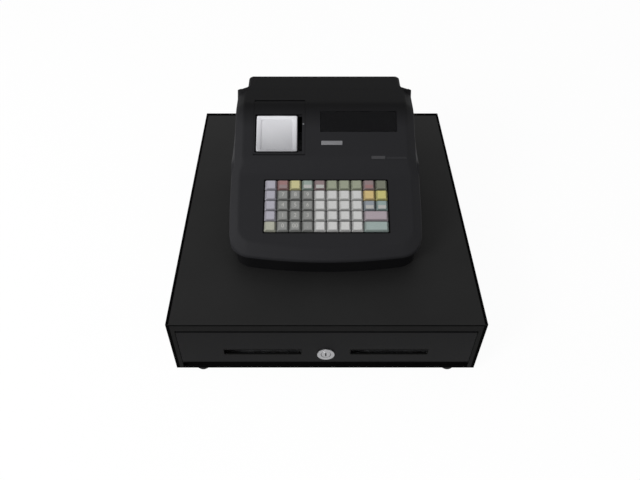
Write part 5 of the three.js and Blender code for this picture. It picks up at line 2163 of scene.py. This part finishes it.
@dataclass(frozen=True)
class Drawer:
    """The case and the drawer: sheet metal, rails, till insert, clips and latch."""

    frame_width: float = 9.4 * MM
    lip_height: float = 13 * MM
    sill_height: float = 4 * MM
    film: float = 0.2 * MM
    border: float = 0.5 * MM
    rim: float = 4 * MM
    fold: float = 1.8 * MM
    top_rim: float = 3.2 * MM
    rear_rim: float = 6 * MM
    foot_shade_hem: float = 3.6 * MM
    slot_start: float = 32 * MM
    slot_length: float = 101 * MM
    slot_height: float = 10.5 * MM
    slot_middle: float = 46.5 * MM
    slot_shade_hem: float = 0.8 * MM
    sheet: float = 2.2 * MM
    clips: int = 4

    def edges(self) -> None:
        """Lays painted shade on the case: a darker enamel on its front edges, and a near-black one on its
        rims and sill.
        """
        low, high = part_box("case_cover")
        foot, sill_top = low.z + self.border, low.z + self.sill_height
        outer, top = high.x - self.border, high.z - self.border
        inner, opening = high.x - self.frame_width, high.z - self.lip_height
        middle, crest = outer - self.rim, top - self.fold

        def arch(wide: float, summit: float, narrow: float, under: float) -> list[Pair]:
            """Gives the outline of an arch round the drawer.

            Args:
                wide: half its outer width.
                summit: the height of its outer edge.
                narrow: half its inner width.
                under: the height of its inner edge.

            Returns:
                The points, as place across and height.
            """
            return [
                (-wide, foot), (-narrow, foot), (-narrow, under), (narrow, under),
                (narrow, foot), (wide, foot), (wide, summit), (-wide, summit),
            ]

        def film(outline: list[Pair]) -> Solid:
            """Gives a thin sheet of an outline on the front of the case."""
            faces = (low.y - self.film, low.y + self.film)
            return Solid().loft([[(x, y, z) for x, z in outline] for y in faces])

        # painted shade: a darker enamel on the front lip and the side frames
        film(arch(middle, crest, inner, opening)).piece("front_edge_painted_shade", FRONT_EDGE_SHADE_ENAMEL, "case")
        # painted shade on the sill, in the shadow under the drawer's front
        sill = [(-inner, foot), (inner, foot), (inner, sill_top), (-inner, sill_top)]
        film(sill).piece("sill_painted_shade", RIM_SHADE_FILM, "case")
        # painted shade along the outer rims of the front, the sides of the top and its rear edge
        rims = film(arch(outer, top, middle, crest))
        under, over = high.z - self.film, high.z + self.film
        start, end = low.y + self.border, high.y - self.border
        edge, last = outer - self.top_rim, end - self.rear_rim
        for near, far in ((-outer, -edge), (edge, outer)):
            rims.box((near, start, under), (far, end, over))
        rims.box((-edge, last, under), (edge, end, over))
        rims.piece("rim_painted_shade", RIM_SHADE_FILM, "case")

    def shade_hems(self) -> None:
        """Lays painted shade on the drawer's front: dark bands along its foot and round both slots."""
        low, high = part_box("drawer_front")
        start, end = low.x + self.border, high.x - self.border
        # painted shade: a near-black band along the foot of the drawer's front
        Solid().box(
            (start, low.y - self.film, low.z + self.border), (end, low.y + self.film, low.z + self.foot_shade_hem)
        ).piece("drawer_foot_painted_shade", RIM_SHADE_FILM, "drawer")
        # painted shade: dark bands round the slots and into them
        shade_hems = Solid()
        section = [
            (self.slot_shade_hem, -self.film), (-self.film, -self.film), (-self.film, self.sheet),
            (self.film / 4, self.sheet), (self.film / 4, self.film), (self.slot_shade_hem, self.film),
        ]
        half_x, half_z = self.slot_length / 2, self.slot_height / 2
        for side in (-1, 1):
            middle = side * (self.slot_start + half_x)
            rings = [
                [
                    (middle + x, low.y + y, self.slot_middle + z)
                    for x, z in rounded_rectangle(half_x + grow, half_z + grow, self.sheet / 2)
                ]
                for grow, y in section
            ]
            shade_hems.loft(rings, closed=True)
        shade_hems.piece("slot_painted_shade", BASE_SHADE_ENAMEL, "drawer")

    def build(self) -> None:
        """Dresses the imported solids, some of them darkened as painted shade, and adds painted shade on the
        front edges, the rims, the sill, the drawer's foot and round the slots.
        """
        dress("case_cover", CASE_ENAMEL, Edge.BROAD)
        # painted shade: the base darker for the shadow of the front
        dress("case_base", BASE_SHADE_ENAMEL, Edge.FOLDED)
        self.edges()
        # painted shade: the drawer's front darker than the case's top
        dress("drawer_front", PANEL_SHADE_ENAMEL, Edge.FULL)
        self.shade_hems()
        dress("drawer_tray", ZINC, Edge.FOLDED)
        dress("drawer_striker", ZINC, Edge.PRESSED)
        for side in ("left", "right"):
            dress(f"rail_{side}", ZINC, Edge.ROLLED)
        dress("till_insert", POLYSTYRENE, Edge.BROAD)
        dress("clip_axle", SPRING_STEEL)
        for number in range(1, self.clips + 1):
            dress(f"note_clip_{number}", SPRING_STEEL, Edge.PRESSED)
        dress("latch_solenoid", ZINC, Edge.PRESSED)
        dress("latch_hook", ZINC, Edge.ROLLED)
        dress("solenoid_plunger", SPRING_STEEL, Edge.PRESSED)


@dataclass(frozen=True)
class Printer:
    """The receipt printer under its cover."""

    def build(self) -> None:
        """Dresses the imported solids."""
        dress("printer_frame", FRAME_NYLON, Edge.PRESSED)
        dress("print_head", ZINC, Edge.ROLLED)
        dress("platen_roller", RUBBER)
        dress("feed_gear", NYLON)
        dress("tear_bar", SPRING_STEEL)
        dress("main_board", LAMINATE)


@dataclass(frozen=True)
class Base:
    """The register's base pan with its power inlet, and the bare label at the rear."""

    pin_radius: float = 1.1 * MM
    pin_pitch: float = 7 * MM
    pin_length: float = 8 * MM
    pin_ease: float = 0.6 * MM
    pin_tip_share: float = 0.6
    pin_root: float = 1 * MM
    pin_sides: int = 20
    socket_depth: float = 12 * MM
    label_low: Pair = (-84 * MM, 22 * MM)
    label_high: Pair = (-34 * MM, 50 * MM)
    label_sunk: float = 0.1 * MM
    label_proud: float = 0.35 * MM
    label_ease: float = 0.05 * MM

    def build(self) -> None:
        """Dresses the pan and the inlet, and adds the pins and the label."""
        dress("base_pan", PAN_ABS, Edge.MOULDED)
        dress("power_inlet", PAN_ABS, Edge.FOLDED)
        middle_x, middle_z = Axis.Y.middle("power_inlet")
        pins = Solid()
        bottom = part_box("power_inlet")[1].y - self.socket_depth
        tip = bottom + self.pin_length
        profile = [
            (self.pin_radius, bottom - self.pin_root),
            (self.pin_radius, tip - self.pin_ease),
            (self.pin_radius * self.pin_tip_share, tip),
        ]
        for way in (-1, 1):
            centre = (middle_x + way * self.pin_pitch / 2, middle_z)
            pins.revolve(profile, Axis.Y, centre, self.pin_sides)
        pins.piece("inlet_pins", PIN_BRASS, "case")
        hood_low, hood_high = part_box("hood")
        back, foot = hood_high.y, hood_low.z
        label = Solid().box(
            (self.label_low[0], back - self.label_sunk, foot + self.label_low[1]),
            (self.label_high[0], back + self.label_proud, foot + self.label_high[1]),
        )
        label.piece("rear_label", LABEL_PAPER, "case", self.label_ease)


@dataclass(frozen=True)
class Lamp:
    """A square soft lamp: its name, its place, its side in metres and its power in watts."""

    name: str
    place: Point
    size: float
    power: float

    def hang(self, target: Point) -> None:
        """Hangs the lamp.

        Args:
            target: what it points at.
        """
        light = bpy.data.lights.new(self.name, "AREA")
        light.shape = "SQUARE"
        light.size = self.size
        light.energy = self.power
        lamp = add_object(self.name, light)
        lamp.location = self.place
        aim = Vector(target) - Vector(self.place)
        lamp.rotation_euler = aim.to_track_quat("-Z", "Y").to_euler()


@dataclass(frozen=True)
class Studio:
    """The pale floor, the soft lamps and the camera at the photograph's angle."""

    lens: float = 35.09
    sensor: float = 36.0
    pitch: float = math.radians(46.23)
    shift: float = 0.0141
    eye: Point = (-0.0194, -0.6816, 0.7356)
    floor_size: float = 12.0
    floor_white: str = "#f4f4f4"
    glow_share: float = 0.955
    surround: float = 0.38
    target: Point = (0.0, 0.0, 0.12)
    lamps: tuple[Lamp, ...] = (
        Lamp("key_lamp", (-1.1, -1.2, 1.15), 0.6, 21.0),
        Lamp("top_lamp", (-0.35, -0.35, 1.7), 0.8, 3.0),
        Lamp("fill_lamp", (1.4, -0.8, 1.0), 1.2, 3.0),
        Lamp("side_lamp", (-1.5, -0.1, 0.45), 0.7, 8.0),
    )

    def seen(self, tree: Tree) -> Socket:
        """Finds the rays that show the background to the eye, in metal and glass too.

        Args:
            tree: the node tree of the floor or of the world.

        Returns:
            The socket that is 1 for them and 0 for all others.
        """
        path = add_node(tree, "ShaderNodeLightPath")
        first = add_node(
            tree,
            "ShaderNodeMath",
            links={0: path.outputs["Is Camera Ray"], 1: path.outputs["Is Glossy Ray"]},
            operation="ADD",
        )
        both = add_node(
            tree,
            "ShaderNodeMath",
            links={0: first.outputs[0], 1: path.outputs["Is Transmission Ray"]},
            operation="ADD",
            use_clamp=True,
        )
        return both.outputs[0]

    def build_floor(self) -> None:
        """Lays a floor that is white to the eye and keeps a soft shadow."""
        mesh = bpy.data.meshes.new("studio_floor")
        half = self.floor_size / 2
        corners = [(-half, -half, 0.0), (half, -half, 0.0), (half, half, 0.0), (-half, half, 0.0)]
        mesh.from_pydata(corners, [], [(0, 1, 2, 3)])
        floor = add_object("studio_floor", mesh)
        material = bpy.data.materials.new("pale_floor_paint")
        material.use_nodes = True
        tree = material.node_tree
        tree.nodes.clear()
        paint = add_node(
            tree, "ShaderNodeBsdfDiffuse", values={"Color": linear(self.floor_white), "Roughness": 0.5}
        )
        glow = add_node(tree, "ShaderNodeEmission", values={"Color": WHITE_LIGHT, "Strength": 1.0})
        share = add_node(
            tree,
            "ShaderNodeMath",
            values={1: self.glow_share},
            links={0: self.seen(tree)},
            operation="MULTIPLY",
        )
        mix = add_node(
            tree,
            "ShaderNodeMixShader",
            links={0: share.outputs[0], 1: paint.outputs[0], 2: glow.outputs[0]},
        )
        add_node(tree, "ShaderNodeOutputMaterial", links={"Surface": mix.outputs[0]})
        floor.data.materials.append(material)

    def build_world(self) -> None:
        """Surrounds the set with white that gives only some light."""
        world = bpy.data.worlds.new("white_surround")
        world.use_nodes = True
        tree = world.node_tree
        tree.nodes.clear()
        dim, bright = (
            add_node(tree, "ShaderNodeBackground", values={"Color": WHITE_LIGHT, "Strength": strength})
            for strength in (self.surround, 1.0)
        )
        mix = add_node(
            tree, "ShaderNodeMixShader", links={0: self.seen(tree), 1: dim.outputs[0], 2: bright.outputs[0]}
        )
        add_node(tree, "ShaderNodeOutputWorld", links={"Surface": mix.outputs[0]})
        bpy.context.scene.world = world

    def build_camera(self) -> None:
        """Sets up the camera where the photographer stood."""
        data = bpy.data.cameras.new("camera")
        data.sensor_width = self.sensor
        data.lens = self.lens
        data.shift_x = self.shift
        camera = add_object("camera", data)
        camera.location = self.eye
        camera.rotation_euler = (QUARTER_TURN - self.pitch, 0.0, 0.0)
        bpy.context.scene.camera = camera

    def build(self) -> None:
        """Sets up floor, surround, lamps, camera and colour management."""
        self.build_floor()
        self.build_world()
        for lamp in self.lamps:
            lamp.hang(self.target)
        self.build_camera()
        bpy.context.scene.view_settings.view_transform = "Standard"


def main() -> None:
    """Builds every sub-assembly in turn."""
    logging.basicConfig(level=logging.INFO, format="%(name)s: %(message)s")
    assemblies = (
        Studio, Drawer, Lock, TurnedParts, Base, Hood, PrinterCover, Window,
        Display, Plates, Keyboard, Printer,
    )
    for assembly in assemblies:
        assembly().build()


if __name__ == "__main__":
    main()
